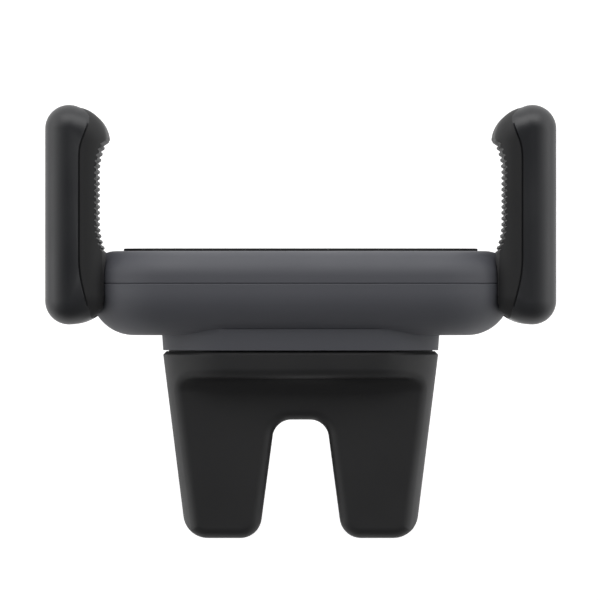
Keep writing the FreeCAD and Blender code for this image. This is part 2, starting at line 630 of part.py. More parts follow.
def rack_tooth():
    """The first rack tooth, straight-sided, its root sunk in the bar."""
    middle = "(-rack_lead * pi * gear_module)"
    half = "(pi * gear_module / 4 - gear_backlash / 4)"
    low = f"({PITCH_RADIUS} - rack_addendum)"
    high = f"({PITCH_RADIUS} + 1.25 * gear_module + rack_bar / 4)"
    slope = "tan(pressure_angle)"
    return [
        (f"{middle} - ({half} - rack_addendum * {slope})", low),
        (f"{middle} + ({half} - rack_addendum * {slope})", low),
        (f"{middle} + ({half} + (1.25 * gear_module + rack_bar / 4) * {slope})", high),
        (f"{middle} - ({half} + (1.25 * gear_module + rack_bar / 4) * {slope})", high),
    ]


def slide(side, turn):
    """Rack, tongue and upright in one moulding: the arm's hard core."""
    label = f"{side}_slide"
    body = new_body(label)
    outline = draw_outline(new_sketch(body, label + "_outline", "XZ_Plane", SLIDE_BACK), slide_outline())
    feature(body, "Pad", label + "_plate", outline, "slide_thick")
    tooth_sketch = draw_outline(new_sketch(body, label + "_tooth", "XZ_Plane", SLIDE_BACK), rack_tooth())
    tooth = feature(body, "Pad", label + "_tooth_pad", tooth_sketch, "slide_thick")
    teeth = body.newObject("PartDesign::LinearPattern", label + "_teeth")
    teeth.Originals = [tooth]
    teeth.Direction = (tooth_sketch, ["H_Axis"])
    teeth.setExpression("Length", bound("(rack_teeth - 1) * pi * gear_module"))
    teeth.setExpression("Occurrences", bound("rack_teeth"))
    body.Tip = teeth
    upright = draw_outline(new_sketch(body, label + "_upright", "YZ_Plane", SEAM_X), upright_outline())
    feature(body, "Pad", label + "_upright_pad", upright, "upright_thick")
    for number, y in enumerate(ARM_SCREW_Y, start=1):
        for kind, width, depth in (("hole", "arm_screw_shank", "upright_thick"),
                                   ("sink", "arm_screw_head + 2 * fit", "arm_screw_head_height")):
            sketch = new_sketch(body, f"{label}_{kind}_{number}", "YZ_Plane", SEAM_X)
            draw_circle(sketch, y, "0", width)
            feature(body, "Pocket", f"{label}_{kind}_cut_{number}", sketch, depth, reverse=True)
    nub = new_sketch(body, label + "_nub", "YZ_Plane", "-tab_inner + tab_thick")
    draw_circle(nub, f"-{SLIDE_MIDDLE}", "screw_z", "nub")
    feature(body, "Pad", label + "_nub_pad", nub, "nub_length")
    body.Placement = turn
    return body


def arm_spring(side, turn):
    """The coil space of a compression spring that pushes its slide, and so its arm, inwards."""
    label = f"{side}_arm_spring"
    body = new_body(label)
    sketch = new_sketch(body, label + "_section", "YZ_Plane", "-tab_inner + tab_thick")
    draw_circle(sketch, f"-{SLIDE_MIDDLE}", "screw_z", "spring_coil")
    draw_circle(sketch, f"-{SLIDE_MIDDLE}", "screw_z", "spring_coil - 2 * spring_wire")
    feature(body, "Pad", label + "_coil", sketch, f"{SPRING_SEAT_X} + tab_inner - tab_thick")
    body.Placement = turn
    return body


def screw_body(label, head, head_height, shank, length):
    """A pan-head screw along its own Z axis, its head's underside at the origin."""
    body = new_body(label)
    bevel, point = f"{head} / 8", f"{shank} / 4"
    outline = [
        ("0", f"-{length}"), (point, f"-{length}"), (f"{shank} / 2", f"-{length} + {point}"),
        (f"{shank} / 2", "0"), (f"{head} / 2", "0"), (f"{head} / 2", f"{head_height} - {bevel}"),
        (f"{head} / 2 - {bevel}", head_height), ("0", head_height),
    ]
    sketch = draw_outline(new_sketch(body, label + "_profile", "XZ_Plane"), outline)
    turned = body.newObject("PartDesign::Revolution", label + "_turned")
    turned.Profile = sketch
    turned.ReferenceAxis = (sketch, ["V_Axis"])
    turned.Angle = 360
    sketch.Visibility = False
    recess = new_sketch(body, label + "_recess", "XY_Plane", head_height)
    arm, half = f"({head} * recess_reach)", f"({head} * recess_width / 2)"
    cross = []
    for sign_x, sign_y in (("", ""), ("-", ""), ("-", "-"), ("", "-")):
        near = (f"{sign_x}{half}", f"{sign_y}{half}")
        side_arm = (f"{sign_x}{arm}", f"{sign_y}{half}")
        end_arm = (f"{sign_x}{half}", f"{sign_y}{arm}")
        cross += [side_arm, near, end_arm] if sign_x == sign_y else [end_arm, near, side_arm]
    draw_outline(recess, cross)
    feature(body, "Pocket", label + "_recess_cut", recess, f"{head_height} / 2")
    return body


def screws(label, form, places, turn):
    """Like screws as one group of separate solids."""
    doc.recompute()
    item = doc.addObject("Part::Feature", label)
    item.Label = label
    copies = []
    for place in places:
        copy = form.Shape.copy()
        copy.Placement = place
        copies.append(copy)
    item.Shape = Part.makeCompound(copies)
    item.Placement = turn
    return item


def involute(angle):
    return math.tan(angle) - angle


def pinion():
    """Spur pinion with involute teeth; a recess at its back takes the head of its screw."""
    teeth = int(value_of("gear_teeth"))
    pitch = value_of(PITCH_RADIUS)
    tip = value_of(f"{PITCH_RADIUS} + gear_module")
    root = value_of(f"{PITCH_RADIUS} - 1.25 * gear_module")
    pressure = math.radians(value_of("pressure_angle"))
    base = pitch * math.cos(pressure)
    half_pitch = math.pi / (2 * teeth) - value_of("gear_backlash") / (4 * pitch)
    half_base = half_pitch + involute(pressure)

    def at(radius, angle):
        return Vector(radius * math.cos(angle), 0, radius * math.sin(angle))

    def flank(radius):
        return half_base - involute(math.acos(base / radius))

    edges = []
    step = 2 * math.pi / teeth
    middle = (base + tip) / 2
    half_middle, half_tip = flank(middle), flank(tip)
    for number in range(teeth):
        a = number * step
        foot, rise, crest = at(base, a - half_base), at(middle, a - half_middle), at(tip, a - half_tip)
        fall_crest, fall = at(tip, a + half_tip), at(middle, a + half_middle)
        fall_foot = at(base, a + half_base)
        bottom, next_bottom = at(root, a + half_base), at(root, a + step - half_base)
        edges.append(Part.LineSegment(at(root, a - half_base), foot))
        edges.append(Part.Arc(foot, rise, crest))
        edges.append(Part.Arc(crest, at(tip, a), fall_crest))
        edges.append(Part.Arc(fall_crest, fall, fall_foot))
        edges.append(Part.LineSegment(fall_foot, bottom))
        edges.append(Part.Arc(bottom, at(root, a + step / 2), next_bottom))
    outline = Part.Face(Part.Wire([edge.toShape() for edge in edges]))
    wheel = outline.extrude(Vector(0, value_of("slide_thick"), 0))
    bore = value_of("spindle / 2 + spindle_clear")
    sink = value_of("pinion_head / 2 + 2 * slide_clear")
    depth = value_of("pinion_head_height + 2 * slide_clear")
    along = Vector(0, 1, 0)
    wheel = wheel.cut(Part.makeCylinder(bore, value_of("slide_thick"), Vector(0, 0, 0), along))
    wheel = wheel.cut(Part.makeCylinder(sink, depth, Vector(0, value_of("slide_thick") - depth, 0), along))
    item = doc.addObject("Part::Feature", "pinion")
    item.Label = "pinion"
    item.Shape = wheel
    item.Placement = Placement(Vector(0, -value_of(SLIDE_FRONT), 0), Rotation())
    return item


def add_round_posts(body, name, places, width, offset, length, reverse=False):
    """Pads of circles of one size, in one sketch."""
    sketch = new_sketch(body, name, "XZ_Plane", offset)
    for x, z in places:
        draw_circle(sketch, x, z, width)
    return feature(body, "Pad", name + "_pad", sketch, length, reverse=reverse)


def cut_round_holes(body, name, places, width, offset, length, reverse=False):
    sketch = new_sketch(body, name, "XZ_Plane", offset)
    for x, z in places:
        draw_circle(sketch, x, z, width)
    return feature(body, "Pocket", name + "_cut", sketch, length, reverse=reverse)


def cut_tongue_slots(body, label, offset, length, reverse):
    """Half of the slot that each slide's tongue leaves the body by."""
    half = "(tongue_width / 2 + slot_clear)"
    for side, sign in (("right", ""), ("left", "-")):
        sketch = new_sketch(body, f"{label}_{side}_slot", "XZ_Plane", offset)
        start, end = f"{sign}(body_width / 2 - 2 * wall)", f"{sign}(body_width / 2 + wall)"
        draw_outline(sketch, box_corners(start, f"-{half}", end, half))
        feature(body, "Pocket", f"{label}_{side}_slot_cut", sketch, length, reverse=reverse)


SCREW_PLACES = [(f"{across}screw_x", f"{up}screw_z") for across in ("", "-") for up in ("", "-")]
SPRING_SEAT_X = "(screw_x - boss / 2 - seat_thick)"


def add_spring_seats(body, label, offset, length):
    """Blocks on two of the screw bosses, which the arm springs push against."""
    for side, sign in (("right", ""), ("left", "-")):
        sketch = new_sketch(body, f"{label}_{side}_seat", "XZ_Plane", offset)
        near, far = f"{sign}{SPRING_SEAT_X}", f"{sign}screw_x"
        low, high = (f"{sign}(screw_z {end} spring_coil / 2)" for end in ("-", "+"))
        draw_outline(sketch, box_corners(near, low, far, high))
        feature(body, "Pad", f"{label}_{side}_seat_pad", sketch, length)


def add_rails(body, label, offset, length, edge):
    """Guide rails that the slides run on, clear of the pinion and the swivel."""
    for side, sign in (("right", ""), ("left", "-")):
        for level, half in (("upper", ""), ("lower", "-")):
            sketch = new_sketch(body, f"{label}_{side}_{level}_rail", "XZ_Plane", offset)
            start, end = f"{sign}rail_start", f"{sign}(body_width / 2 - {edge})"
            low, high = f"{half}rail_low", f"{half}(rail_low + rail_width)"
            draw_outline(sketch, box_corners(start, low, end, high))
            feature(body, "Pad", f"{label}_{side}_{level}_rail_pad", sketch, length)


def cut_parting_line(body, label, base):
    """Bevels the shell's outer edge at the parting, which leaves a shadow line there."""
    doc.recompute()
    reach = value_of("body_width / 2 - wall / 2")
    height = value_of("body_height / 2 - wall / 2")
    level = flat_at("Y", -value_of(PARTING))

    def outer(edge):
        centre = edge.CenterOfMass
        corner = math.hypot(reach - abs(centre.x), height - abs(centre.z)) < value_of("body_corner / 2")
        return level(edge) and (abs(centre.x) > reach or abs(centre.z) > height or corner)

    line = body.newObject("PartDesign::Chamfer", label + "_parting_line")
    line.Base = (base, edges_where(base.Shape, outer))
    line.setExpression("Size", bound("parting_groove"))


def front_shell():
    body = new_body("front_shell")
    outline = rounded_corners("body_width / 2", "body_height / 2", "body_corner")
    block = feature(body, "Pad", "front_block", draw_outline(
        new_sketch(body, "front_outline", "XZ_Plane", PARTING), outline), "front_depth")
    rounded = round_edges(body, "front_edges", block, flat_at("Y", -value_of(SHELL_FRONT)), "front_round")
    cut_parting_line(body, "front", rounded)
    inside = rounded_corners("body_width / 2 - wall", "body_height / 2 - wall", "body_corner - wall")
    sketch = draw_outline(new_sketch(body, "front_inside", "XZ_Plane", PARTING), inside)
    hollow = feature(body, "Pocket", "front_hollow", sketch, "front_depth - front_wall", reverse=True)
    floor = flat_at("Y", -value_of(FRONT_INSIDE))
    round_edges(body, "front_hollow_edges", hollow, floor, "front_round - wall")
    seat = rounded_corners(f"{PAD_HALF_WIDTH} + fit", f"{PAD_HALF_HEIGHT} + fit", "pad_corner + fit")
    feature(body, "Pocket", "pad_seat", draw_outline(
        new_sketch(body, "pad_seat_outline", "XZ_Plane", SHELL_FRONT), seat), "pad_thick - pad_proud")
    add_round_posts(body, "front_bosses", SCREW_PLACES, "boss", PARTING, "front_depth - front_wall / 2")
    add_spring_seats(body, "front", PARTING, "front_depth - front_wall / 2")
    rails = f"{FRONT_INSIDE} - rail_height"
    add_rails(body, "front", rails, "rail_height + front_wall / 4", "front_round")
    middle = [("0", "0")]
    ring = f"2 * {PITCH_RADIUS} - 3.5 * gear_module"
    add_round_posts(body, "pinion_ring", middle, ring, rails, "rail_height + front_wall / 4")
    height = f"{FRONT_INSIDE} - {SPINDLE_END} + front_wall / 4"
    add_round_posts(body, "pinion_spindle", middle, "spindle", SPINDLE_END, height)
    depth = "pinion_screw_length + fit"
    cut_round_holes(body, "pinion_screw_hole", middle, "screw_shank", SPINDLE_END, depth, True)
    hole, sink = "screw_shank + 2 * fit", "screw_head + 2 * fit"
    cut_round_holes(body, "front_screw_holes", SCREW_PLACES, hole, PARTING, "front_depth", True)
    depth = f"{SHELL_FRONT} - {PAD_SEAT} + screw_head_height + fit"
    cut_round_holes(body, "front_screw_sinks", SCREW_PLACES, sink, SHELL_FRONT, depth)
    cut_tongue_slots(body, "front", PARTING, f"{SLIDE_FRONT} - {PARTING} + slot_clear", True)
    return body


def rear_shell():
    body = new_body("rear_shell")
    outline = rounded_corners("body_width / 2", "body_height / 2", "body_corner")
    feature(body, "Pad", "rear_block", draw_outline(
        new_sketch(body, "rear_outline", "XZ_Plane", SHELL_BACK), outline), "rear_depth")
    inside = rounded_corners("body_width / 2 - wall", "body_height / 2 - wall", "body_corner - wall")
    hollow = feature(body, "Pocket", "rear_hollow", draw_outline(
        new_sketch(body, "rear_inside", "XZ_Plane", PARTING), inside), "rear_depth - wall")
    floor = flat_at("Y", -value_of(BACK_INSIDE))
    hollow = round_edges(body, "rear_hollow_edges", hollow, floor, "back_round - wall")
    rounded = round_edges(body, "rear_edges", hollow, flat_at("Y", -value_of(SHELL_BACK)), "back_round")
    cut_parting_line(body, "rear", rounded)
    foot = rounded_corners("clip_width / 2", "clip_height / 2", "clip_corner")
    neck = feature(body, "Pad", "neck", draw_outline(
        new_sketch(body, "neck_outline", "XZ_Plane", NECK_END), foot), "neck_length + wall / 2")
    neck.setExpression("TaperAngle", bound("neck_draft"))
    depth = "rear_depth - wall / 2"
    add_round_posts(body, "rear_bosses", SCREW_PLACES, "boss", f"{SHELL_BACK} + wall / 2", depth)
    add_spring_seats(body, "rear", f"{SHELL_BACK} + wall / 2", depth)
    height = f"{SLIDE_BACK} - slide_clear - {SHELL_BACK} - wall / 2"
    add_rails(body, "rear", f"{SHELL_BACK} + wall / 2", height, "back_round")
    cut_round_holes(body, "rear_screw_holes", SCREW_PLACES, "screw_shank", PARTING, "screw_length + fit")
    cut_round_holes(body, "swivel_bore", [("0", "0")], "spigot + 2 * spigot_clear", PARTING, None)
    cut_tongue_slots(body, "rear", PARTING, f"{PARTING} - {SLIDE_BACK} + slot_clear", False)
    return body


def front_pad():
    body = new_body("front_pad")
    outline = rounded_corners(PAD_HALF_WIDTH, PAD_HALF_HEIGHT, "pad_corner")
    sheet_pad = feature(body, "Pad", "front_pad_sheet", draw_outline(
        new_sketch(body, "front_pad_outline", "XZ_Plane", PAD_SEAT), outline), "pad_thick")
    front = -value_of(f"{PAD_SEAT} + pad_thick")
    round_edges(body, "front_pad_edges", sheet_pad, flat_at("Y", front), "pad_proud / 2")
    return body


# The clip seen from above: lines and corners that frame and rocker share
SIDE_SLOPE = "((clip_width - clip_tip_width) / 2 / (clip_reach + fork_length))"
SIDE_ANGLE = f"atan({SIDE_SLOPE})"
NOTCH_BOTTOM = "(notch_floor - clip_reach)"
NOTCH_SLOPE = f"((notch_tip_width - notch_width) / 2 / (fork_length - {NOTCH_BOTTOM}))"
NOTCH_ANGLE = f"atan({NOTCH_SLOPE})"
HINGE_Z = "(jaw_face - knuckle / 2)"


def side_x(y):
    """Half the clip's width at this y."""
    return f"(clip_tip_width / 2 + {SIDE_SLOPE} * (fork_length - ({y})))"


def notch_x(y):
    """Half the notch's width at this y."""
    return f"(notch_width / 2 + {NOTCH_SLOPE} * (({y}) - {NOTCH_BOTTOM}))"


def tip_corner_outline(sign):
    """What the rounded corner of a prong tip takes away."""
    centre_y = "(fork_length - fork_tip_corner)"
    centre_x = f"({side_x(centre_y)} - fork_tip_corner / cos({SIDE_ANGLE}))"
    beyond = "(clip_width / 2 + fork_tip_corner)"
    start_y = f"{centre_y} + fork_tip_corner * sin({SIDE_ANGLE})"
    corners = [
        (f"{sign}({centre_x} + fork_tip_corner * cos({SIDE_ANGLE}))", start_y, f"{sign}fork_tip_corner"),
        (f"{sign}{centre_x}", "fork_length"),
        (f"{sign}{centre_x}", "fork_length + fork_tip_corner"),
        (f"{sign}{beyond}", "fork_length + fork_tip_corner"),
        (f"{sign}{beyond}", start_y),
    ]
    return corners


def notch_outline():
    """The notch between the prongs, open past their tips."""
    centre_y = f"({NOTCH_BOTTOM} + notch_corner)"
    centre_x = f"({notch_x(centre_y)} - notch_corner / cos({NOTCH_ANGLE}))"
    side = f"({centre_x} + notch_corner * cos({NOTCH_ANGLE}))"
    side_y = f"{centre_y} - notch_corner * sin({NOTCH_ANGLE})"
    end = "(fork_length + fork_tip_corner)"
    return [
        (f"-{centre_x}", NOTCH_BOTTOM), (centre_x, NOTCH_BOTTOM, "notch_corner"),
        (side, side_y), (notch_x(end), end),
        (f"-{notch_x(end)}", end), (f"-{side}", side_y, "notch_corner"),
    ]


def prong_corner_outline(sign):
    """What the rounded corner between a prong's tip and the notch takes away."""
    centre_y = "(fork_length - fork_inner_corner)"
    centre_x = f"({notch_x(centre_y)} + fork_inner_corner / cos({NOTCH_ANGLE}))"
    beyond = "(notch_width / 4)"
    start_y = f"{centre_y} + fork_inner_corner * sin({NOTCH_ANGLE})"
    return [
        (f"{sign}({centre_x} - fork_inner_corner * cos({NOTCH_ANGLE}))", start_y,
         f"-({sign}fork_inner_corner)"),
        (f"{sign}{centre_x}", "fork_length"),
        (f"{sign}{centre_x}", "fork_length + fork_inner_corner"),
        (f"{sign}{beyond}", "fork_length + fork_inner_corner"),
        (f"{sign}{beyond}", start_y),
    ]


def clip_block(body):
    """The clip's tapering block, before it is parted into frame and rocker."""
    near = new_sketch(body, "block_front", "XZ_Plane", "clip_reach - front_edge")
    draw_outline(near, rounded_corners("clip_width / 2", "clip_height / 2", "clip_corner"))
    far = new_sketch(body, "block_end", "XZ_Plane", "-fork_length")
    draw_outline(far, rounded_corners("clip_tip_width / 2", "clip_height / 2", "clip_corner"))
    block = body.newObject("PartDesign::AdditiveLoft", "block")
    block.Profile = near
    block.Sections = [far]
    near.Visibility = far.Visibility = False
    return block


def cut_fork(body):
    """Notch and rounded prong tips."""
    outlines = [("notch", notch_outline())]
    for side, sign in (("right", ""), ("left", "-")):
        outlines.append((f"tip_{side}", tip_corner_outline(sign)))
        outlines.append((f"prong_{side}", prong_corner_outline(sign)))
    for name, outline in outlines:
        sketch = draw_outline(new_sketch(body, name, "XY_Plane"), outline)
        item = feature(body, "Pocket", name + "_cut", sketch, "3 * clip_height", symmetric=True)
    return item


def lining_outline(sign):
    """One prong's lining, seen from above."""
    back, front = LINING_BACK, "(fork_length - lining_margin)"
    inner_back, inner_front = f"({notch_x(back)} + lining_margin)", f"({notch_x(front)} + lining_margin)"
    outer_back = f"({side_x(back)} - lining_margin)"
    corner_y = "(fork_length - fork_tip_corner)"
    corner_x = f"({side_x(corner_y)} - lining_margin)"
    corner = "(fork_tip_corner - lining_margin)"
    corners = [
        (inner_back, back), (outer_back, back), (corner_x, corner_y),
        (f"{corner_x} - {corner}", front), (inner_front, front),
    ]
    return [(f"{sign}({x})", y) for x, y in corners]


def lining(label, sign):
    """The rubber linings of one jaw: a ribbed strip on each prong."""
    body = new_body(label)
    face = f"{sign}lining_gap / 2"
    sketch = new_sketch(body, label + "_strips", "XY_Plane", face)
    draw_outline(sketch, lining_outline(""))
    draw_outline(sketch, lining_outline("-"))
    thick = "lining_recess + (jaw_gap - lining_gap) / 2"
    feature(body, "Pad", label + "_strips_pad", sketch, thick, reverse=bool(sign))
    ridge = new_sketch(body, label + "_ridge", "XY_Plane", face)
    start = f"{notch_x('fork_length')} + 2 * lining_margin"
    end = f"{side_x('fork_length')} - 2 * lining_margin"
    low, high = f"{LINING_BACK} + ridge_width", f"{LINING_BACK} + 2 * ridge_width"
    draw_outline(ridge, box_corners(start, low, end, high))
    draw_outline(ridge, box_corners(f"-({start})", low, f"-({end})", high))
    first = feature(body, "Pad", label + "_ridge_pad", ridge, "ridge_height", reverse=not sign)
    ridges = body.newObject("PartDesign::LinearPattern", label + "_ridges")
    ridges.Originals = [first]
    ridges.Direction = (ridge, ["V_Axis"])
    ridges.setExpression("Length", bound("(ridge_count - 1) * ridge_pitch"))
    ridges.setExpression("Occurrences", bound("ridge_count"))
    body.Tip = ridges
    return body


def cut_lining_seat(body, sign):
    sketch = new_sketch(body, "lining_seat", "XY_Plane", f"{sign}jaw_gap / 2")
    draw_outline(sketch, lining_outline(""))
    draw_outline(sketch, lining_outline("-"))
    return feature(body, "Pocket", "lining_seat_cut", sketch, "lining_recess", reverse=not sign)


def knuckle_point(angle, radius="knuckle / 2"):
    return (f"-{HINGE_Y} + ({radius}) * cos({angle})", f"-{HINGE_Z} + ({radius}) * sin({angle})")


def cut_knuckle_room(body, name, level, width, outwards):
    """A round room for the other piece's knuckle, from this level across."""
    sketch = new_sketch(body, name, "YZ_Plane", level)
    draw_circle(sketch, f"-{HINGE_Y}", f"-{HINGE_Z}", "knuckle + 2 * knuckle_clear")
    return feature(body, "Pocket", name + "_cut", sketch, width, reverse=outwards)


def upper_profile():
    """Over the upper jaw, from the side: hollow step and flat face, closed well outside
    the clip."""
    return [
        (JAW_STEP, "clip_height"), (JAW_STEP, "jaw_face + jaw_step_radius", "jaw_step_radius"),
        (f"{JAW_STEP} + jaw_step_radius", "jaw_face"), ("2 * fork_length", "jaw_face"),
        ("2 * fork_length", "clip_height"),
    ]


def jaw_edges(level, foot):
    """A test for the edges round a jaw's flat face, all but its foot at the hollow step."""
    face, foot_y = flat_at("Z", value_of(level)), value_of(foot)
    return lambda edge: face(edge) and edge.BoundBox.YMax > foot_y + value_of("fit")


def clip_frame():
    """Upper jaw, hinge cheeks and swivel spigot in one moulding."""
    body = new_body("clip_frame")
    block = clip_block(body)
    bevel = feature(body, "Pad", "front_bevel", block.Profile[0], "front_edge")
    bevel.TaperAngle = -45
    half_width, half_height = (f"clip_{size} / 2 - land_inset" for size in ("width", "height"))
    land = new_sketch(body, "swivel_land", "XZ_Plane", "clip_reach")
    draw_outline(land, rounded_corners(half_width, half_height, "clip_corner - land_inset"))
    feature(body, "Pad", "swivel_land_pad", land, "swivel_gap - swivel_play")
    upper = draw_outline(new_sketch(body, "upper_step", "YZ_Plane"), upper_profile())
    feature(body, "Pocket", "upper_step_cut", upper, "3 * clip_width", symmetric=True)
    slot_root = f"(-{HINGE_Y} + knuckle / 2 * cos(slot_root_angle))"
    below = draw_outline(new_sketch(body, "below_jaw", "YZ_Plane"), [
        ("2 * fork_length", "jaw_gap / 2 + lead_in + fork_length"),
        ("fork_length", "jaw_gap / 2 + lead_in"),
        ("fork_length - lead_in", "jaw_gap / 2"), (slot_root, "jaw_gap / 2"),
        (*knuckle_point("slot_root_angle"), "-knuckle / 2"), knuckle_point("-90"),
        (f"{JAW_STEP} + jaw_step_radius", "-jaw_face", "jaw_step_radius"),
        (JAW_STEP, "-jaw_face - jaw_step_radius"),
        (JAW_STEP, "-clip_height"), ("2 * fork_length", "-clip_height"),
    ])
    feature(body, "Pocket", "below_jaw_cut", below, "3 * clip_width", symmetric=True)
    cut_fork(body)
    room = cut_knuckle_room(body, "rocker_room", "0", "rocker_width + 2 * knuckle_clear", False)
    room.SideType = "Symmetric"
    press = new_sketch(body, "press_room", "YZ_Plane")
    level = "-(clip_height / 2 - lever_plate - lever_travel_room)"
    draw_outline(press, box_corners("-clip_reach + skirt_wall", "-clip_height", "0", level))
    feature(body, "Pocket", "press_room_cut", press, "rocker_width + 2 * knuckle_clear", symmetric=True)
    cut_lining_seat(body, "")
    spigot = draw_circle(new_sketch(body, "spigot", "XZ_Plane", "clip_reach"), "0", "0", "spigot")
    feature(body, "Pad", "spigot_pad", spigot, f"{SPIGOT_END} - clip_reach")
    hole = draw_circle(new_sketch(body, "swivel_hole", "XZ_Plane", SPIGOT_END), "0", "0", "swivel_shank")
    feature(body, "Pocket", "swivel_hole_cut", hole, "swivel_length - washer_thick + fit")
    pin = new_sketch(body, "pin_hole", "YZ_Plane")
    draw_circle(pin, f"-{HINGE_Y}", f"-{HINGE_Z}", "hinge_pin")
    feature(body, "Pocket", "pin_hole_cut", pin, "2 * clip_width", symmetric=True)
    leg = new_sketch(body, "spring_leg_groove", "XZ_Plane", HINGE_Y)
    half, top = "coil_wire", f"{LEG_Z} + coil_wire / 2"
    draw_outline(leg, box_corners(f"{LEG_X} - {half}", f"{LEG_Z} - {half}", f"{LEG_X} + {half}", top))
    last = feature(body, "Pocket", "spring_leg_groove_cut", leg, "leg_reach + fit", reverse=True)
    foot = f"{JAW_STEP} + jaw_step_radius"
    round_edges(body, "jaw_edges", last, jaw_edges("jaw_face", foot), "jaw_edge")
    return body


# Leg of the jaw spring that bears on the frame
LEG_X = "(-coil_width / 2 + coil_wire / 2)"
LEG_Z = f"(-{HINGE_Z} + hinge_pin / 2 + coil_gap + coil_wire / 2)"


def rocker_jaw():
    """Lower jaw, hinge barrel and press plate in one moulding."""
    body = new_body("rocker_jaw")
    clip_block(body)
    outside = new_sketch(body, "rocker_side", "YZ_Plane")
    draw_outline(outside, box_corners("-2 * clip_reach", "-clip_height", "2 * fork_length", "clip_height"))
    bottom, plate = "-clip_height / 2", "(clip_height / 2 - lever_plate)"
    draw_outline(outside, [
        ("fork_length", "-jaw_gap / 2 - lead_in"), ("fork_length - lead_in", "-jaw_gap / 2"),
        (ROCKER_BACK, "-jaw_gap / 2"), (*knuckle_point("barrel_start"), "knuckle / 2"),
        knuckle_point("barrel_end"), (knuckle_point("barrel_end")[0], f"-{plate}"),
        (f"-{LEVER_END}", f"-{plate}"), (f"-{LEVER_END}", f"{bottom} + lever_plate / 2", "lever_plate / 2"),
        (f"-{LEVER_END} + lever_plate / 2", bottom), (LEVER_STEP, bottom),
        (LEVER_STEP, "-jaw_face - jaw_step_radius", "-jaw_step_radius"),
        (f"{LEVER_STEP} + jaw_step_radius", "-jaw_face"),
        ("fork_length", "-jaw_face"),
    ])
    feature(body, "Pocket", "rocker_side_cut", outside, "3 * clip_width", symmetric=True)
    cut_fork(body)
    for side, sign, outwards in (("right", "", True), ("left", "-", False)):
        level = f"{sign}rocker_width / 2"
        cut_knuckle_room(body, f"{side}_cheek_room", level, "clip_width", outwards)
        shoulder = new_sketch(body, f"{side}_shoulder", "YZ_Plane", level)
        behind = f"{LEVER_STEP} + jaw_step_radius"
        draw_outline(shoulder, box_corners("-2 * clip_reach", "-clip_height", behind, "0"))
        feature(body, "Pocket", f"{side}_shoulder_cut", shoulder, "clip_width", reverse=outwards)
    cut_lining_seat(body, "-")
    pin = new_sketch(body, "pin_bore", "YZ_Plane")
    draw_circle(pin, f"-{HINGE_Y}", f"-{HINGE_Z}", "hinge_pin + 2 * pin_clear")
    feature(body, "Pocket", "pin_bore_cut", pin, "2 * clip_width", symmetric=True)
    coil = new_sketch(body, "coil_room", "YZ_Plane")
    draw_circle(coil, f"-{HINGE_Y}", f"-{HINGE_Z}", "hinge_pin + 4 * coil_gap + 2 * coil_wire")
    feature(body, "Pocket", "coil_room_cut", coil, "coil_width + 2 * fit", symmetric=True)
    window = new_sketch(body, "coil_window", "YZ_Plane")
    low, high = f"-{HINGE_Z} - coil_wire", f"-{HINGE_Z} + knuckle"
    draw_outline(window, box_corners(f"-2 * {HINGE_Y}", low, f"-{HINGE_Y}", high))
    last = feature(body, "Pocket", "coil_window_cut", window, "coil_width + 2 * fit", symmetric=True)
    foot = f"{LEVER_STEP} + jaw_step_radius"
    round_edges(body, "jaw_edges", last, jaw_edges("-jaw_face", foot), "jaw_edge")
    return body


def rod(label, role, offset, x, y, diameter, length, hole=None):
    """A straight pin, or a ring where it has a hole."""
    body = new_body(label)
    sketch = draw_circle(new_sketch(body, label + "_section", role, offset), x, y, diameter)
    if hole:
        draw_circle(sketch, x, y, hole)
    feature(body, "Pad", label + "_pad", sketch, length, symmetric=role == "YZ_Plane")
    return body


def jaw_spring():
    """The coil space of the torsion spring on the hinge pin, and the leg in the frame."""
    bore = "hinge_pin + 2 * coil_gap"
    wide = f"{bore} + 2 * coil_wire"
    body = rod("jaw_spring", "YZ_Plane", "0", f"-{HINGE_Y}", f"-{HINGE_Z}", wide, "coil_width", bore)
    leg = new_sketch(body, "spring_leg", "XZ_Plane", HINGE_Y)
    draw_circle(leg, LEG_X, LEG_Z, "coil_wire - 2 * fit")
    feature(body, "Pad", "spring_leg_pad", leg, "leg_reach")
    return body


def placed(body, x, y, z, axis, angle):
    body.Placement = Placement(Vector(value_of(x), value_of(y), value_of(z)), Rotation(axis, angle))
    return body


STILL = Placement()
HALF_TURN = Placement(Vector(0, 0, 0), Rotation(Vector(0, 1, 0), 180))
TO_DRIVER = Rotation(Vector(1, 0, 0), 90)
ACROSS = Vector(1, 0, 0)

pieces = [clip_frame(), rocker_jaw(), lining("upper_lining", ""), lining("lower_lining", "-"), jaw_spring()]
pin_y, pin_z = f"-{HINGE_Y}", f"-{HINGE_Z}"
pieces.append(rod("jaw_hinge_pin", "YZ_Plane", "0", pin_y, pin_z, "hinge_pin", "pin_length"))
wide, hole = "swivel_washer - 2 * fit", "spigot + 2 * coil_gap"
pieces.append(rod("wave_washer", "XZ_Plane", BACK_INSIDE, "0", "0", wide, "wave_height", hole))
wide, hole = "swivel_washer", "swivel_shank + 2 * fit"
pieces.append(rod("swivel_washer", "XZ_Plane", SPIGOT_END, "0", "0", wide, "washer_thick", hole))
head, shank, length = "swivel_head", "swivel_shank", "swivel_length"
swivel_screw = screw_body("swivel_screw", head, "swivel_head_height", shank, length)
pieces.append(placed(swivel_screw, "0", f"-{WASHER_END}", "0", ACROSS, 90))
pieces += [front_shell(), rear_shell(), front_pad(), pinion()]
head, length = "pinion_head", "pinion_screw_length"
pinion_screw = screw_body("pinion_screw", head, "pinion_head_height", "screw_shank", length)
pieces.append(placed(pinion_screw, "0", f"-{SPINDLE_END}", "0", ACROSS, -90))

head, length = "screw_head", "screw_length"
shell_screw = screw_body("shell_screw_form", head, "screw_head_height", "screw_shank", length)
head_seat = value_of(f"-{PAD_SEAT} + screw_head_height")
places = [Placement(Vector(value_of(x), head_seat, value_of(z)), TO_DRIVER) for x, z in SCREW_PLACES]
pieces.append(screws("shell_screws", shell_screw, places, STILL))

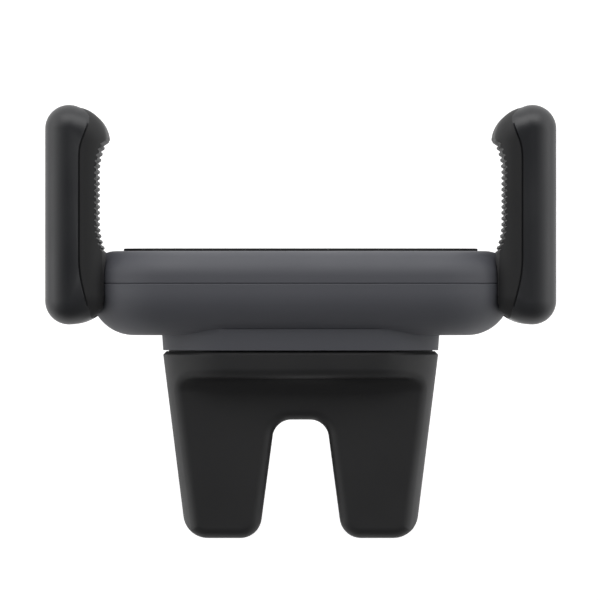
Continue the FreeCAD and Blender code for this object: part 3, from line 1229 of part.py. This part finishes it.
head, shank, length = "arm_screw_head", "arm_screw_shank", "arm_screw_length"
arm_screw = screw_body("arm_screw_form", head, "arm_screw_head_height", shank, length)
head_x = value_of(f"{SEAM_X} + arm_screw_head_height")
places = [Placement(Vector(head_x, value_of(y), 0), Rotation(Vector(0, 1, 0), -90)) for y in ARM_SCREW_Y]
for side, turn in (("right", STILL), ("left", HALF_TURN)):
    pieces += [slide(side, turn), arm_cover(side, turn), arm_grip(side, turn), arm_spring(side, turn)]
    pieces.append(screws(f"{side}_arm_screws", arm_screw, places, turn))

doc.recompute()
for item in doc.Objects:
    if {"Invalid", "Error"} & set(item.State):
        raise ValueError(f"{item.Name}: {item.State}")

os.makedirs("parts", exist_ok=True)
for piece in pieces:
    if piece.Shape.isNull() or not piece.Shape.isValid():
        raise ValueError(f"{piece.Label}: no valid shape")
    piece.Shape.exportStep(f"parts/{piece.Label}.step")
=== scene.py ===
import json
import math

import bmesh
import bpy
from mathutils import Matrix, Vector


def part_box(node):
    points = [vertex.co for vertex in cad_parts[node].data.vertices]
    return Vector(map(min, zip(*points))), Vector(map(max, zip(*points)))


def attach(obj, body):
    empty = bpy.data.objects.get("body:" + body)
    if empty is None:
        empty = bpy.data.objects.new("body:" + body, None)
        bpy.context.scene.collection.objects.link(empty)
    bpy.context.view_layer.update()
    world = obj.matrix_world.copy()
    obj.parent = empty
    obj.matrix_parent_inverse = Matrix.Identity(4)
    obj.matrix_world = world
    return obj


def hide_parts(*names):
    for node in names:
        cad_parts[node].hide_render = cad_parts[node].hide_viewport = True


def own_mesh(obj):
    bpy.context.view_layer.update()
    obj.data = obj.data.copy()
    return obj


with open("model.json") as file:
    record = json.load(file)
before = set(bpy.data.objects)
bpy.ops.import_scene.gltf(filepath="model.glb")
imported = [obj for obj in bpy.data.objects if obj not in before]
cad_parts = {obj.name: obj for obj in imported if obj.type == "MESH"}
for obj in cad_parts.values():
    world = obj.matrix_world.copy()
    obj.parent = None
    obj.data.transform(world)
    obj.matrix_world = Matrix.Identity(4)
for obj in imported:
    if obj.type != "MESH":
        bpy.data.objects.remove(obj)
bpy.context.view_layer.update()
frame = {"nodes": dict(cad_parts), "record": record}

bl_info = {
    "name": "Vent phone holder dressing",
    "version": (1, 0, 0),
    "blender": (4, 5, 0),
    "location": "3D View > Sidebar > Phone holder",
    "description": "Finishes, springs and studio for an air vent phone holder",
    "category": "Object",
}

MM = 0.001
# Facets closer than this are one point, and facets flatter than this are one face
WELD = 0.0015 * MM
FLAT = math.radians(0.6)
# The darker of a finish's two tones, as a share of its colour
PLASTIC_SHADE = 0.86
STEEL_SHADE = 0.8
# How far the gloss of a finish goes up and down
PLASTIC_GLOSS = 0.05
STEEL_GLOSS = 0.08
# How much a drawn steel's lines are stretched along the wire
STEEL_STRETCH = 0.06
# Edges sharper than the first angle stay sharp, and those past the second get a moulded round
CREASE = math.radians(28)
ROUND_FROM = math.radians(32)


def linear(hex_colour):
    """An sRGB hex colour as linear red, green, blue and alpha."""
    channels = [int(hex_colour[i:i + 2], 16) / 255 for i in (1, 3, 5)]
    return [c / 12.92 if c <= 0.04045 else ((c + 0.055) / 1.055) ** 2.4 for c in channels] + [1.0]


def colour_of(hex_colour, meaning):
    """A colour property with this default."""
    return bpy.props.FloatVectorProperty(
        name=meaning, description=f"Colour of the {meaning.lower()}", subtype="COLOR", size=4,
        min=0.0, max=1.0, default=linear(hex_colour))


def length_of(millimetres, meaning):
    """A length property in metres, given in millimetres."""
    return bpy.props.FloatProperty(
        name=meaning, description=f"{meaning} in metres", subtype="DISTANCE", unit="LENGTH",
        default=millimetres * MM)


class HolderColours(bpy.types.PropertyGroup):
    """The colours of the moulded pieces"""
    shell: colour_of("#494a50", "Body shells")
    arm: colour_of("#1e1f22", "Arm covers")
    clip: colour_of("#0e0e10", "Vent clip")
    grip: colour_of("#0c0c0e", "Arm grips")
    pad: colour_of("#0c0c0e", "Front pad")
    lining: colour_of("#1a1a1b", "Jaw linings")
    slide: colour_of("#1e1e20", "Slides")
    gear: colour_of("#d9d3c4", "Pinion")


class HolderSprings(bpy.types.PropertyGroup):
    """Turns, wires and waves of the springs"""
    arm_turns: bpy.props.FloatProperty(
        name="Arm spring turns", description="Turns of each arm spring", default=16.0, min=3.0)
    jaw_turns: bpy.props.FloatProperty(
        name="Jaw spring turns", description="Turns of the jaw spring", default=9.0, min=2.0)
    arm_wire: length_of(0.45, "Arm spring wire")
    jaw_wire: length_of(0.7, "Jaw spring wire")
    leg_play: length_of(0.1, "How much thinner the jaw spring's leg is drawn than its wire")
    washer_thick: length_of(0.25, "Wave washer thickness")
    washer_hole: length_of(12.6, "Wave washer hole")
    washer_waves: bpy.props.IntProperty(
        name="Wave washer waves", description="Waves round the wave washer", default=3, min=2)


class HolderStudio(bpy.types.PropertyGroup):
    """The camera, the floor, the softbox and the light tent round the object"""
    distance: length_of(1600.0, "Camera distance")
    view_width: length_of(96.0, "Width of the view at the object")
    centre_x: length_of(0.11, "Across, at the middle of the view")
    centre_y: length_of(-25.6, "Towards the vent, at the middle of the view")
    floor_drop: length_of(60.0, "Floor below the object's middle")
    floor_reach: length_of(20000.0, "Floor from its middle to a side")
    front_ahead: length_of(900.0, "Softbox ahead of the object")
    front_above: length_of(700.0, "Softbox above the object")
    front_width: length_of(1400.0, "Softbox across")
    front_height: length_of(800.0, "Softbox height")
    front_power: bpy.props.FloatProperty(
        name="Front softbox", description="Power of the softbox in front", default=8.0, min=0.0, unit="POWER")
    horizon: bpy.props.FloatProperty(
        name="Tent walls", description="Brightness of the light tent at the horizon", default=2.7, min=0.0)
    near_wall: bpy.props.FloatProperty(
        name="Near wall", description="Share of that brightness on the driver's side",
        default=0.4, min=0.0, max=1.0)
    near_end: bpy.props.FloatProperty(
        name="Near wall's end", description="Where, from -1 to 0, the near wall has full brightness",
        default=-0.3, min=-1.0, max=0.0)
    far_wall: bpy.props.FloatProperty(
        name="Far wall", description="Share of that brightness on the vent's side",
        default=0.12, min=0.0, max=1.0)
    far_start: bpy.props.FloatProperty(
        name="Far wall's start", description="Where, from 0 to 1, the far wall is darkest",
        default=0.7, min=0.0, max=1.0)
    zenith: bpy.props.FloatProperty(
        name="Tent top", description="Brightness of the light tent overhead", default=0.0, min=0.0)
    floor_glow: bpy.props.FloatProperty(
        name="Floor glow", description="What the floor adds to be seen white", default=0.5, min=0.0)


def add_node(tree, kind, settings=None, **inputs):
    """Adds a node. Settings are its own attributes; each input is a value or a socket to link."""
    node = tree.nodes.new(kind)
    for name, value in (settings or {}).items():
        setattr(node, name, value)
    for name, value in inputs.items():
        key = int(name[1:]) if name[0] == "_" else name.replace("_", " ")
        if isinstance(value, bpy.types.NodeSocket):
            tree.links.new(value, node.inputs[key])
        else:
            node.inputs[key].default_value = value
    return node


def new_material(name):
    """An empty material's node tree with its shader already joined to the output."""
    material = bpy.data.materials.new(name)
    material.use_nodes = True
    tree = material.node_tree
    tree.nodes.clear()
    shader = add_node(tree, "ShaderNodeBsdfPrincipled")
    add_node(tree, "ShaderNodeOutputMaterial", Surface=shader.outputs[0])
    return material, tree, shader


def moulded(name, colour, roughness, ior, grain, depth, cloud=12.0, sheen=0.0):
    """A moulded surface. The grain is the tool's spark-eroded texture in millimetres, the
    depth its height in millimetres, and the cloud the size of the faint gloss changes."""
    material, tree, shader = new_material(name)
    place = add_node(tree, "ShaderNodeTexCoord").outputs["Object"]
    grains = add_node(tree, "ShaderNodeTexNoise",
                      Vector=place, Scale=1 / (grain * MM), Detail=3.0, Roughness=0.6)
    clouds = add_node(tree, "ShaderNodeTexNoise",
                      Vector=place, Scale=1 / (cloud * MM), Detail=2.0, Roughness=0.5)
    gloss = add_node(tree, "ShaderNodeMapRange", Value=clouds.outputs[0], _1=0.3, _2=0.7,
                     _3=roughness - PLASTIC_GLOSS, _4=roughness + PLASTIC_GLOSS)
    tree.links.new(gloss.outputs[0], shader.inputs["Roughness"])
    darker = [channel * PLASTIC_SHADE for channel in colour[:3]] + [1.0]
    tint = add_node(tree, "ShaderNodeMix", {"data_type": "RGBA"}, _0=grains.outputs[0], _6=darker, _7=colour)
    tree.links.new(tint.outputs[2], shader.inputs["Base Color"])
    bump = add_node(tree, "ShaderNodeBump", Height=grains.outputs[0], Strength=0.6, Distance=depth * MM)
    tree.links.new(bump.outputs[0], shader.inputs["Normal"])
    shader.inputs["IOR"].default_value = ior
    if sheen:
        shader.inputs["Sheen Weight"].default_value = sheen
        shader.inputs["Sheen Roughness"].default_value = 0.5
    return material


def drawn_steel(name, hex_colour, roughness, scratch, axis):
    """Steel with fine lines along one axis, as wide as the scratch in millimetres."""
    material, tree, shader = new_material(name)
    shader.inputs["Metallic"].default_value = 1.0
    place = add_node(tree, "ShaderNodeTexCoord").outputs["Object"]
    stretch = [STEEL_STRETCH if i == axis else 1.0 for i in range(3)]
    along = add_node(tree, "ShaderNodeMapping", Vector=place, Scale=stretch)
    lines = add_node(tree, "ShaderNodeTexNoise",
                     Vector=along.outputs[0], Scale=1 / (scratch * MM), Detail=2.0)
    gloss = add_node(tree, "ShaderNodeMapRange", Value=lines.outputs[0], _1=0.3, _2=0.7,
                     _3=roughness - STEEL_GLOSS, _4=roughness + STEEL_GLOSS)
    tree.links.new(gloss.outputs[0], shader.inputs["Roughness"])
    tone = linear(hex_colour)
    darker = [channel * STEEL_SHADE for channel in tone[:3]] + [1.0]
    tint = add_node(tree, "ShaderNodeMix", {"data_type": "RGBA"}, _0=lines.outputs[0], _6=darker, _7=tone)
    tree.links.new(tint.outputs[2], shader.inputs["Base Color"])
    bump = add_node(tree, "ShaderNodeBump", Height=lines.outputs[0], Strength=0.3, Distance=0.01 * MM)
    tree.links.new(bump.outputs[0], shader.inputs["Normal"])
    return material


def body_of_node(node):
    """The moving body that a CAD node belongs to."""
    bodies = frame["record"]["behaviour"]["bodies"]
    return next(body for body, nodes in bodies.items() if node in nodes)


def finish_piece(piece, node):
    """Hangs a finished piece on its body in place of this CAD node."""
    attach(piece, body_of_node(node))
    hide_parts(node)
    return piece


def new_piece(name, mesh, material):
    """An object of this mesh and material, in the scene."""
    piece = bpy.data.objects.new(name, mesh)
    bpy.context.scene.collection.objects.link(piece)
    mesh.materials.clear()
    mesh.materials.append(material)
    return piece


def smooth_piece(node, material, softened=0.0):
    """A CAD node's shape with its facets joined and shaded smooth between its real edges.
    Softened is the small round in millimetres that a mould leaves on an edge."""
    source = frame["nodes"][node]
    work = bmesh.new()
    work.from_mesh(source.data)
    bmesh.ops.remove_doubles(work, verts=work.verts, dist=WELD)
    bmesh.ops.dissolve_degenerate(work, edges=work.edges, dist=WELD)
    bmesh.ops.dissolve_limit(work, angle_limit=FLAT, verts=work.verts, edges=work.edges)
    mesh = bpy.data.meshes.new(node + "_smooth")
    work.to_mesh(mesh)
    work.free()
    mesh.shade_smooth()
    mesh.set_sharp_from_angle(angle=CREASE)
    piece = new_piece(node + "_finished", mesh, material)
    if softened:
        bevel = piece.modifiers.new("mould_round", "BEVEL")
        bevel.limit_method = "ANGLE"
        bevel.angle_limit = ROUND_FROM
        bevel.width = softened * MM
        bevel.segments = 2
        bevel.use_clamp_overlap = True
        bevel.harden_normals = True
    return finish_piece(piece, node)


def new_form_tree(name, *inputs):
    """A geometry node tree with a mesh output and these float inputs, and its input node."""
    tree = bpy.data.node_groups.new(name, "GeometryNodeTree")
    tree.interface.new_socket("Geometry", in_out="OUTPUT", socket_type="NodeSocketGeometry")
    for label, default in inputs:
        socket = tree.interface.new_socket(label, in_out="INPUT", socket_type="NodeSocketFloat")
        socket.default_value = default
    return tree, add_node(tree, "NodeGroupInput")


def end_form_tree(tree, geometry, material):
    """Ends a tree in Realize Instances and Set Material."""
    smooth = add_node(tree, "GeometryNodeSetShadeSmooth", Geometry=geometry)
    real = add_node(tree, "GeometryNodeRealizeInstances", Geometry=smooth.outputs[0])
    dressed = add_node(tree, "GeometryNodeSetMaterial", Geometry=real.outputs[0], Material=material)
    add_node(tree, "NodeGroupOutput", _0=dressed.outputs[0])


def coil_tree(material):
    """A coil along +Z from the origin, its end turns closed up as a spring maker grinds them."""
    tree, given = new_form_tree(
        "spring_coil", ("Turns", 10.0), ("Radius", 1.5 * MM), ("Length", 30 * MM),
        ("Wire", 0.45 * MM), ("Closed ends", 1.0))
    spiral = add_node(tree, "GeometryNodeCurveSpiral",
                      Resolution=20, Rotations=given.outputs["Turns"], Height=0.0)
    for name in ("Start Radius", "End Radius"):
        tree.links.new(given.outputs["Radius"], spiral.inputs[name])
    factor = add_node(tree, "GeometryNodeSplineParameter").outputs["Factor"]
    eased = add_node(tree, "ShaderNodeMapRange", {"interpolation_type": "SMOOTHSTEP"}, Value=factor)
    mixed = add_node(tree, "ShaderNodeMix", _0=given.outputs["Closed ends"], _2=factor, _3=eased.outputs[0])
    height = add_node(tree, "ShaderNodeMath", {"operation": "MULTIPLY"},
                      _0=mixed.outputs[0], _1=given.outputs["Length"])
    lift = add_node(tree, "ShaderNodeCombineXYZ", Z=height.outputs[0])
    risen = add_node(tree, "GeometryNodeSetPosition", Geometry=spiral.outputs[0], Offset=lift.outputs[0])
    half = add_node(tree, "ShaderNodeMath", {"operation": "DIVIDE"}, _0=given.outputs["Wire"], _1=2.0)
    wire = add_node(tree, "GeometryNodeCurvePrimitiveCircle", Resolution=8, Radius=half.outputs[0])
    tube = add_node(tree, "GeometryNodeCurveToMesh",
                    Curve=risen.outputs[0], Profile_Curve=wire.outputs[0], Fill_Caps=True)
    end_form_tree(tree, tube.outputs[0], material)
    return tree


def wave_tree(material):
    """A flat ring about Z whose strip rises and falls in even waves."""
    tree, given = new_form_tree(
        "wave_ring", ("Radius", 7.3 * MM), ("Width", 1.8 * MM), ("Thickness", 0.25 * MM),
        ("Waves", 3.0), ("Height", 0.5 * MM))
    ring = add_node(tree, "GeometryNodeCurvePrimitiveCircle", Resolution=96, Radius=given.outputs["Radius"])
    factor = add_node(tree, "GeometryNodeSplineParameter").outputs["Factor"]
    turn = add_node(tree, "ShaderNodeMath", {"operation": "MULTIPLY"}, _0=factor, _1=given.outputs["Waves"])
    angle = add_node(tree, "ShaderNodeMath", {"operation": "MULTIPLY"}, _0=turn.outputs[0], _1=2 * math.pi)
    wave = add_node(tree, "ShaderNodeMath", {"operation": "SINE"}, _0=angle.outputs[0])
    half = add_node(tree, "ShaderNodeMath", {"operation": "DIVIDE"}, _0=given.outputs["Height"], _1=2.0)
    rise = add_node(tree, "ShaderNodeMath", {"operation": "MULTIPLY"}, _0=wave.outputs[0], _1=half.outputs[0])
    lift = add_node(tree, "ShaderNodeCombineXYZ", Z=rise.outputs[0])
    waved = add_node(tree, "GeometryNodeSetPosition", Geometry=ring.outputs[0], Offset=lift.outputs[0])
    strip = add_node(tree, "GeometryNodeCurvePrimitiveQuadrilateral", {"mode": "RECTANGLE"},
                     Width=given.outputs["Width"], Height=given.outputs["Thickness"])
    band = add_node(tree, "GeometryNodeCurveToMesh", Curve=waved.outputs[0], Profile_Curve=strip.outputs[0])
    end_form_tree(tree, band.outputs[0], material)
    return tree


def grown_piece(name, tree, sizes, place, material):
    """Runs a tree once and keeps its result as a plain mesh, moved to its place."""
    seed = bpy.data.objects.new(name + "_seed", bpy.data.meshes.new(name + "_seed"))
    bpy.context.scene.collection.objects.link(seed)
    grower = seed.modifiers.new("form", "NODES")
    grower.node_group = tree
    sockets = {item.name: item.identifier for item in tree.interface.items_tree if item.in_out == "INPUT"}
    for label, value in sizes.items():
        grower[sockets[label]] = value
    bpy.context.view_layer.update()
    evaluated = seed.evaluated_get(bpy.context.evaluated_depsgraph_get())
    mesh = bpy.data.meshes.new_from_object(evaluated)
    if not mesh.polygons:
        raise RuntimeError(f"{name}: the tree made nothing")
    bpy.data.objects.remove(seed)
    mesh.transform(place)
    fresh = bmesh.new()
    fresh.from_mesh(mesh)
    bmesh.ops.recalc_face_normals(fresh, faces=fresh.faces)
    fresh.to_mesh(mesh)
    fresh.free()
    return new_piece(name, mesh, material)


def add_leg(mesh, start, end, wire):
    """Adds a straight piece of wire between two points to a spring's mesh."""
    work = bmesh.new()
    work.from_mesh(mesh)
    turn = (end - start).to_track_quat("Z", "Y").to_matrix().to_4x4()
    place = Matrix.Translation((start + end) / 2) @ turn
    bmesh.ops.create_cone(work, cap_ends=True, segments=10, radius1=wire / 2, radius2=wire / 2,
                          depth=(end - start).length, matrix=place)
    work.to_mesh(mesh)
    work.free()


def along_x(corner):
    """Turns a form that runs along +Z to run along +X, starting at this point."""
    return Matrix.Translation(corner) @ Matrix.Rotation(math.radians(90), 4, "Y")


class HOLDER_OT_body_shells(bpy.types.Operator):
    """Finishes the two shells and the rubber pad of the holder's body"""
    bl_idname = "phone_holder.body_shells"
    bl_label = "Body shells and pad"

    def execute(self, context):
        colours = context.scene.holder_colours
        # ABS from a spark-eroded mould: a satin face that scatters light softly
        abs_satin = moulded("abs_satin_body", colours.shell, roughness=0.62, ior=1.54, grain=0.16, depth=0.01)
        # Silicone rubber, moulded: dull and even, with almost no highlight
        silicone = moulded(
            "silicone_rubber_pad", colours.pad, roughness=0.72, ior=1.42, grain=0.3, depth=0.02, sheen=0.05)
        smooth_piece("front_shell", abs_satin, softened=0.1)
        smooth_piece("rear_shell", abs_satin, softened=0.1)
        smooth_piece("front_pad", silicone)
        return {"FINISHED"}


class HOLDER_OT_arms(bpy.types.Operator):
    """Finishes the hard covers and the ribbed rubber grips of both arms"""
    bl_idname = "phone_holder.arms"
    bl_label = "Arm covers and grips"

    def execute(self, context):
        colours = context.scene.holder_colours
        # ABS as on the body, a little smoother: long soft highlights down the arm
        abs_arm = moulded("abs_satin_arm", colours.arm, roughness=0.42, ior=1.54, grain=0.16, depth=0.01)
        # Thermoplastic rubber, moulded on: dull, so the ribs show by their shade
        grip_rubber = moulded(
            "tpe_rubber_grip", colours.grip, roughness=0.66, ior=1.5, grain=0.22, depth=0.015, sheen=0.05)
        for side in ("right", "left"):
            smooth_piece(f"{side}_arm_cover", abs_arm, softened=0.3)
            smooth_piece(f"{side}_arm_grip", grip_rubber)
        return {"FINISHED"}


class HOLDER_OT_vent_clip(bpy.types.Operator):
    """Finishes the forked clip, its rocking jaw and their linings"""
    bl_idname = "phone_holder.vent_clip"
    bl_label = "Vent clip"

    def execute(self, context):
        colours = context.scene.holder_colours
        # Glass-filled nylon, moulded: darker and slightly coarser than the body
        nylon = moulded("nylon_moulded_clip", colours.clip, roughness=0.6, ior=1.53, grain=0.2, depth=0.015)
        # Silicone rubber, moulded: the dull strips that hold the vent blade
        lining = moulded(
            "silicone_rubber_lining", colours.lining, roughness=0.75, ior=1.42, grain=0.3, depth=0.02)
        smooth_piece("clip_frame", nylon, softened=0.12)
        smooth_piece("rocker_jaw", nylon, softened=0.12)
        smooth_piece("upper_lining", lining)
        smooth_piece("lower_lining", lining)
        return {"FINISHED"}


class HOLDER_OT_mechanism(bpy.types.Operator):
    """Finishes the slides, the pinion, the pin and the screws"""
    bl_idname = "phone_holder.mechanism"
    bl_label = "Slides, pinion and fasteners"

    def execute(self, context):
        colours = context.scene.holder_colours
        # Acetal, moulded: a waxy, smooth bearing plastic
        acetal_dark = moulded(
            "acetal_moulded_slide", colours.slide, roughness=0.35, ior=1.48, grain=0.4, depth=0.006)
        acetal_natural = moulded(
            "acetal_natural_gear", colours.gear, roughness=0.35, ior=1.48, grain=0.4, depth=0.006)
        # Carbon steel, zinc plated: a grey metal with a broad highlight
        zinc = drawn_steel("steel_zinc_plated", "#8f9294", roughness=0.38, scratch=0.12, axis=1)
        # Steel, centreless ground: bright with fine lines round the pin
        ground = drawn_steel("steel_ground_pin", "#b4b5b6", roughness=0.25, scratch=0.08, axis=0)
        for side in ("right", "left"):
            smooth_piece(f"{side}_slide", acetal_dark)
            smooth_piece(f"{side}_arm_screws", zinc)
        smooth_piece("pinion", acetal_natural)
        smooth_piece("jaw_hinge_pin", ground, softened=0.15)
        for node in ("pinion_screw", "swivel_screw", "swivel_washer", "shell_screws"):
            smooth_piece(node, zinc)
        return {"FINISHED"}


def wind_arm_spring(side, springs, coil, wire):
    """One compression spring between its boss and its slide's tab."""
    node = f"{side}_arm_spring"
    low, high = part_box(node)
    centre = (low + high) / 2
    length, width = high.x - low.x, high.z - low.z
    sizes = {
        "Turns": springs.arm_turns, "Radius": (width - springs.arm_wire) / 2,
        "Length": length - springs.arm_wire, "Wire": springs.arm_wire, "Closed ends": 1.0}
    start = Vector((low.x + springs.arm_wire / 2, centre.y, centre.z))
    piece = grown_piece(node + "_coil", coil, sizes, along_x(start), wire)
    finish_piece(piece, node)
    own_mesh(piece)


def wind_jaw_spring(springs, coil, wire):
    """The torsion spring round the hinge pin, with its leg in the clip's frame."""
    low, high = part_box("jaw_spring")
    pin_low, pin_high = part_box("jaw_hinge_pin")
    axis = (pin_low + pin_high) / 2
    length, radius = high.x - low.x, axis.z - low.z - springs.jaw_wire / 2
    sizes = {
        "Turns": springs.jaw_turns, "Radius": radius,
        "Length": length - springs.jaw_wire, "Wire": springs.jaw_wire, "Closed ends": 0.0}
    start = Vector((low.x + springs.jaw_wire / 2, axis.y, axis.z))
    piece = grown_piece("jaw_spring_coil", coil, sizes, along_x(start), wire)
    leg_start = Vector((start.x, axis.y, axis.z + radius))
    leg_end = Vector((start.x, low.y, axis.z + radius))
    add_leg(piece.data, leg_start, leg_end, springs.jaw_wire - springs.leg_play)
    finish_piece(piece, "jaw_spring")


def wave_swivel_washer(springs, wire):
    """The wavy spring ring that presses the swivel washer on the rear shell."""
    low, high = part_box("wave_washer")
    height = high.y - low.y
    inner = (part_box("swivel_washer")[1].x + springs.washer_hole / 2) / 2
    sizes = {
        "Radius": inner, "Width": 2 * (high.x - inner), "Thickness": springs.washer_thick,
        "Waves": float(springs.washer_waves), "Height": height - springs.washer_thick}
    place = Matrix.Translation((0, (low.y + high.y) / 2, 0)) @ Matrix.Rotation(math.radians(90), 4, "X")
    piece = grown_piece("wave_washer_spring", wave_tree(wire), sizes, place, wire)
    finish_piece(piece, "wave_washer")


class HOLDER_OT_springs(bpy.types.Operator):
    """Winds the two arm springs and the jaw spring and waves the washer"""
    bl_idname = "phone_holder.springs"
    bl_label = "Springs and wave washer"

    def execute(self, context):
        springs = context.scene.holder_springs
        # Spring steel, cold drawn wire: grey with a tight highlight along the coil
        wire = drawn_steel("spring_steel_drawn", "#9a9a9c", roughness=0.3, scratch=0.1, axis=2)
        coil = coil_tree(wire)
        for side in ("right", "left"):
            wind_arm_spring(side, springs, coil, wire)
        wind_jaw_spring(springs, coil, wire)
        wave_swivel_washer(springs, wire)
        return {"FINISHED"}


def softbox(name, place, aim, width, height, power):
    """A rectangular softbox that faces this point."""
    lamp = bpy.data.lights.new(name, "AREA")
    lamp.shape = "RECTANGLE"
    lamp.size, lamp.size_y, lamp.energy = width, height, power
    lamp_object = bpy.data.objects.new(name, lamp)
    lamp_object.location = place
    lamp_object.rotation_euler = (Vector(aim) - Vector(place)).to_track_quat("-Z", "Y").to_euler()
    bpy.context.scene.collection.objects.link(lamp_object)


def lay_floor(studio):
    """A wide pale floor that takes the object's shadow and is seen as white."""
    mesh = bpy.data.meshes.new("floor")
    reach, level = studio.floor_reach, -studio.floor_drop
    corners = [(x * reach, y * reach, level) for x, y in ((-1, -1), (1, -1), (1, 1), (-1, 1))]
    mesh.from_pydata(corners, [], [(0, 1, 2, 3)])
    # Painted board, matt white: shows the object's soft shadow on a pale ground
    material, tree, shader = new_material("painted_board_white")
    shader.inputs["Base Color"].default_value = linear("#f4f4f4")
    shader.inputs["Roughness"].default_value = 0.9
    path = add_node(tree, "ShaderNodeLightPath")
    seen = add_node(tree, "ShaderNodeMath", {"operation": "MAXIMUM"},
                    _0=path.outputs["Is Camera Ray"], _1=path.outputs["Is Glossy Ray"])
    seen = add_node(tree, "ShaderNodeMath", {"operation": "MAXIMUM"},
                    _0=seen.outputs[0], _1=path.outputs["Is Transmission Ray"])
    glow = add_node(tree, "ShaderNodeMath", {"operation": "MULTIPLY"},
                    _0=seen.outputs[0], _1=studio.floor_glow)
    shader.inputs["Emission Color"].default_value = (1.0, 1.0, 1.0, 1.0)
    tree.links.new(glow.outputs[0], shader.inputs["Emission Strength"])
    new_piece("floor", mesh, material)


def pitch_tent(studio):
    """A white light tent: brightest low at both sides, dimmer before and behind, open overhead."""
    world = bpy.data.worlds.new("light_tent")
    world.use_nodes = True
    tree = world.node_tree
    direction = add_node(tree, "ShaderNodeTexCoord").outputs["Generated"]
    split = add_node(tree, "ShaderNodeSeparateXYZ", Vector=direction)
    wall = add_node(tree, "ShaderNodeMapRange", Value=split.outputs["Z"], _1=0.0, _2=1.0,
                    _3=studio.horizon, _4=studio.zenith)
    near = add_node(tree, "ShaderNodeMapRange", Value=split.outputs["Y"], _1=-1.0, _2=studio.near_end,
                    _3=studio.near_wall, _4=1.0)
    far = add_node(tree, "ShaderNodeMapRange", Value=split.outputs["Y"], _1=0.0, _2=studio.far_start,
                   _3=1.0, _4=studio.far_wall)
    share = add_node(tree, "ShaderNodeMath", {"operation": "MULTIPLY"},
                     _0=near.outputs[0], _1=far.outputs[0])
    level = add_node(tree, "ShaderNodeMath", {"operation": "MULTIPLY"},
                     _0=wall.outputs[0], _1=share.outputs[0])
    walls = tree.nodes["Background"]
    walls.inputs["Color"].default_value = (1.0, 1.0, 1.0, 1.0)
    tree.links.new(level.outputs[0], walls.inputs["Strength"])
    bpy.context.scene.world = world


def place_camera(studio):
    """The camera straight above the holder, with the vent's side down in the picture."""
    camera = bpy.data.cameras.new("camera")
    camera.sensor_width = 36.0
    camera.lens = camera.sensor_width * studio.distance / studio.view_width
    camera.clip_end = 60.0
    camera_object = bpy.data.objects.new("camera", camera)
    camera_object.location = (studio.centre_x, studio.centre_y, studio.distance)
    camera_object.rotation_euler = (0.0, 0.0, math.pi)
    bpy.context.scene.collection.objects.link(camera_object)
    bpy.context.scene.camera = camera_object


class HOLDER_OT_studio(bpy.types.Operator):
    """Sets up the pale floor, the light tent, the softbox and the camera above the holder"""
    bl_idname = "phone_holder.studio"
    bl_label = "Studio"

    def execute(self, context):
        studio = context.scene.holder_studio
        lay_floor(studio)
        pitch_tent(studio)
        aim = (0.0, studio.centre_y, 0.0)
        place = (0.0, studio.centre_y - studio.front_ahead, studio.front_above)
        softbox("softbox_front", place, aim, studio.front_width, studio.front_height, studio.front_power)
        place_camera(studio)
        context.scene.view_settings.view_transform = "Standard"
        return {"FINISHED"}


class HOLDER_PT_panel(bpy.types.Panel):
    """Lists the holder's steps and settings"""
    bl_idname = "HOLDER_PT_panel"
    bl_label = "Phone holder"
    bl_space_type = "VIEW_3D"
    bl_region_type = "UI"
    bl_category = "Phone holder"

    def draw(self, context):
        for holder, kind in GROUPS.items():
            box = self.layout.box()
            for name in kind.__annotations__:
                box.prop(getattr(context.scene, holder), name)
        for step in STEPS:
            self.layout.operator(step.bl_idname)


STEPS = (
    HOLDER_OT_studio, HOLDER_OT_body_shells, HOLDER_OT_arms, HOLDER_OT_vent_clip,
    HOLDER_OT_mechanism, HOLDER_OT_springs,
)
GROUPS = {"holder_colours": HolderColours, "holder_springs": HolderSprings, "holder_studio": HolderStudio}


def register():
    """Makes the settings, the operators and the panel known"""
    for group in GROUPS.values():
        bpy.utils.register_class(group)
    for name, group in GROUPS.items():
        setattr(bpy.types.Scene, name, bpy.props.PointerProperty(type=group))
    for step in STEPS:
        bpy.utils.register_class(step)
    bpy.utils.register_class(HOLDER_PT_panel)


def unregister():
    """Takes away what register made known"""
    bpy.utils.unregister_class(HOLDER_PT_panel)
    for step in reversed(STEPS):
        bpy.utils.unregister_class(step)
    for name, group in reversed(GROUPS.items()):
        delattr(bpy.types.Scene, name)
        bpy.utils.unregister_class(group)


def main():
    """Runs every step"""
    register()
    for step in STEPS:
        group, name = step.bl_idname.split(".")
        getattr(getattr(bpy.ops, group), name)()


if __name__ == "__main__":
    main()
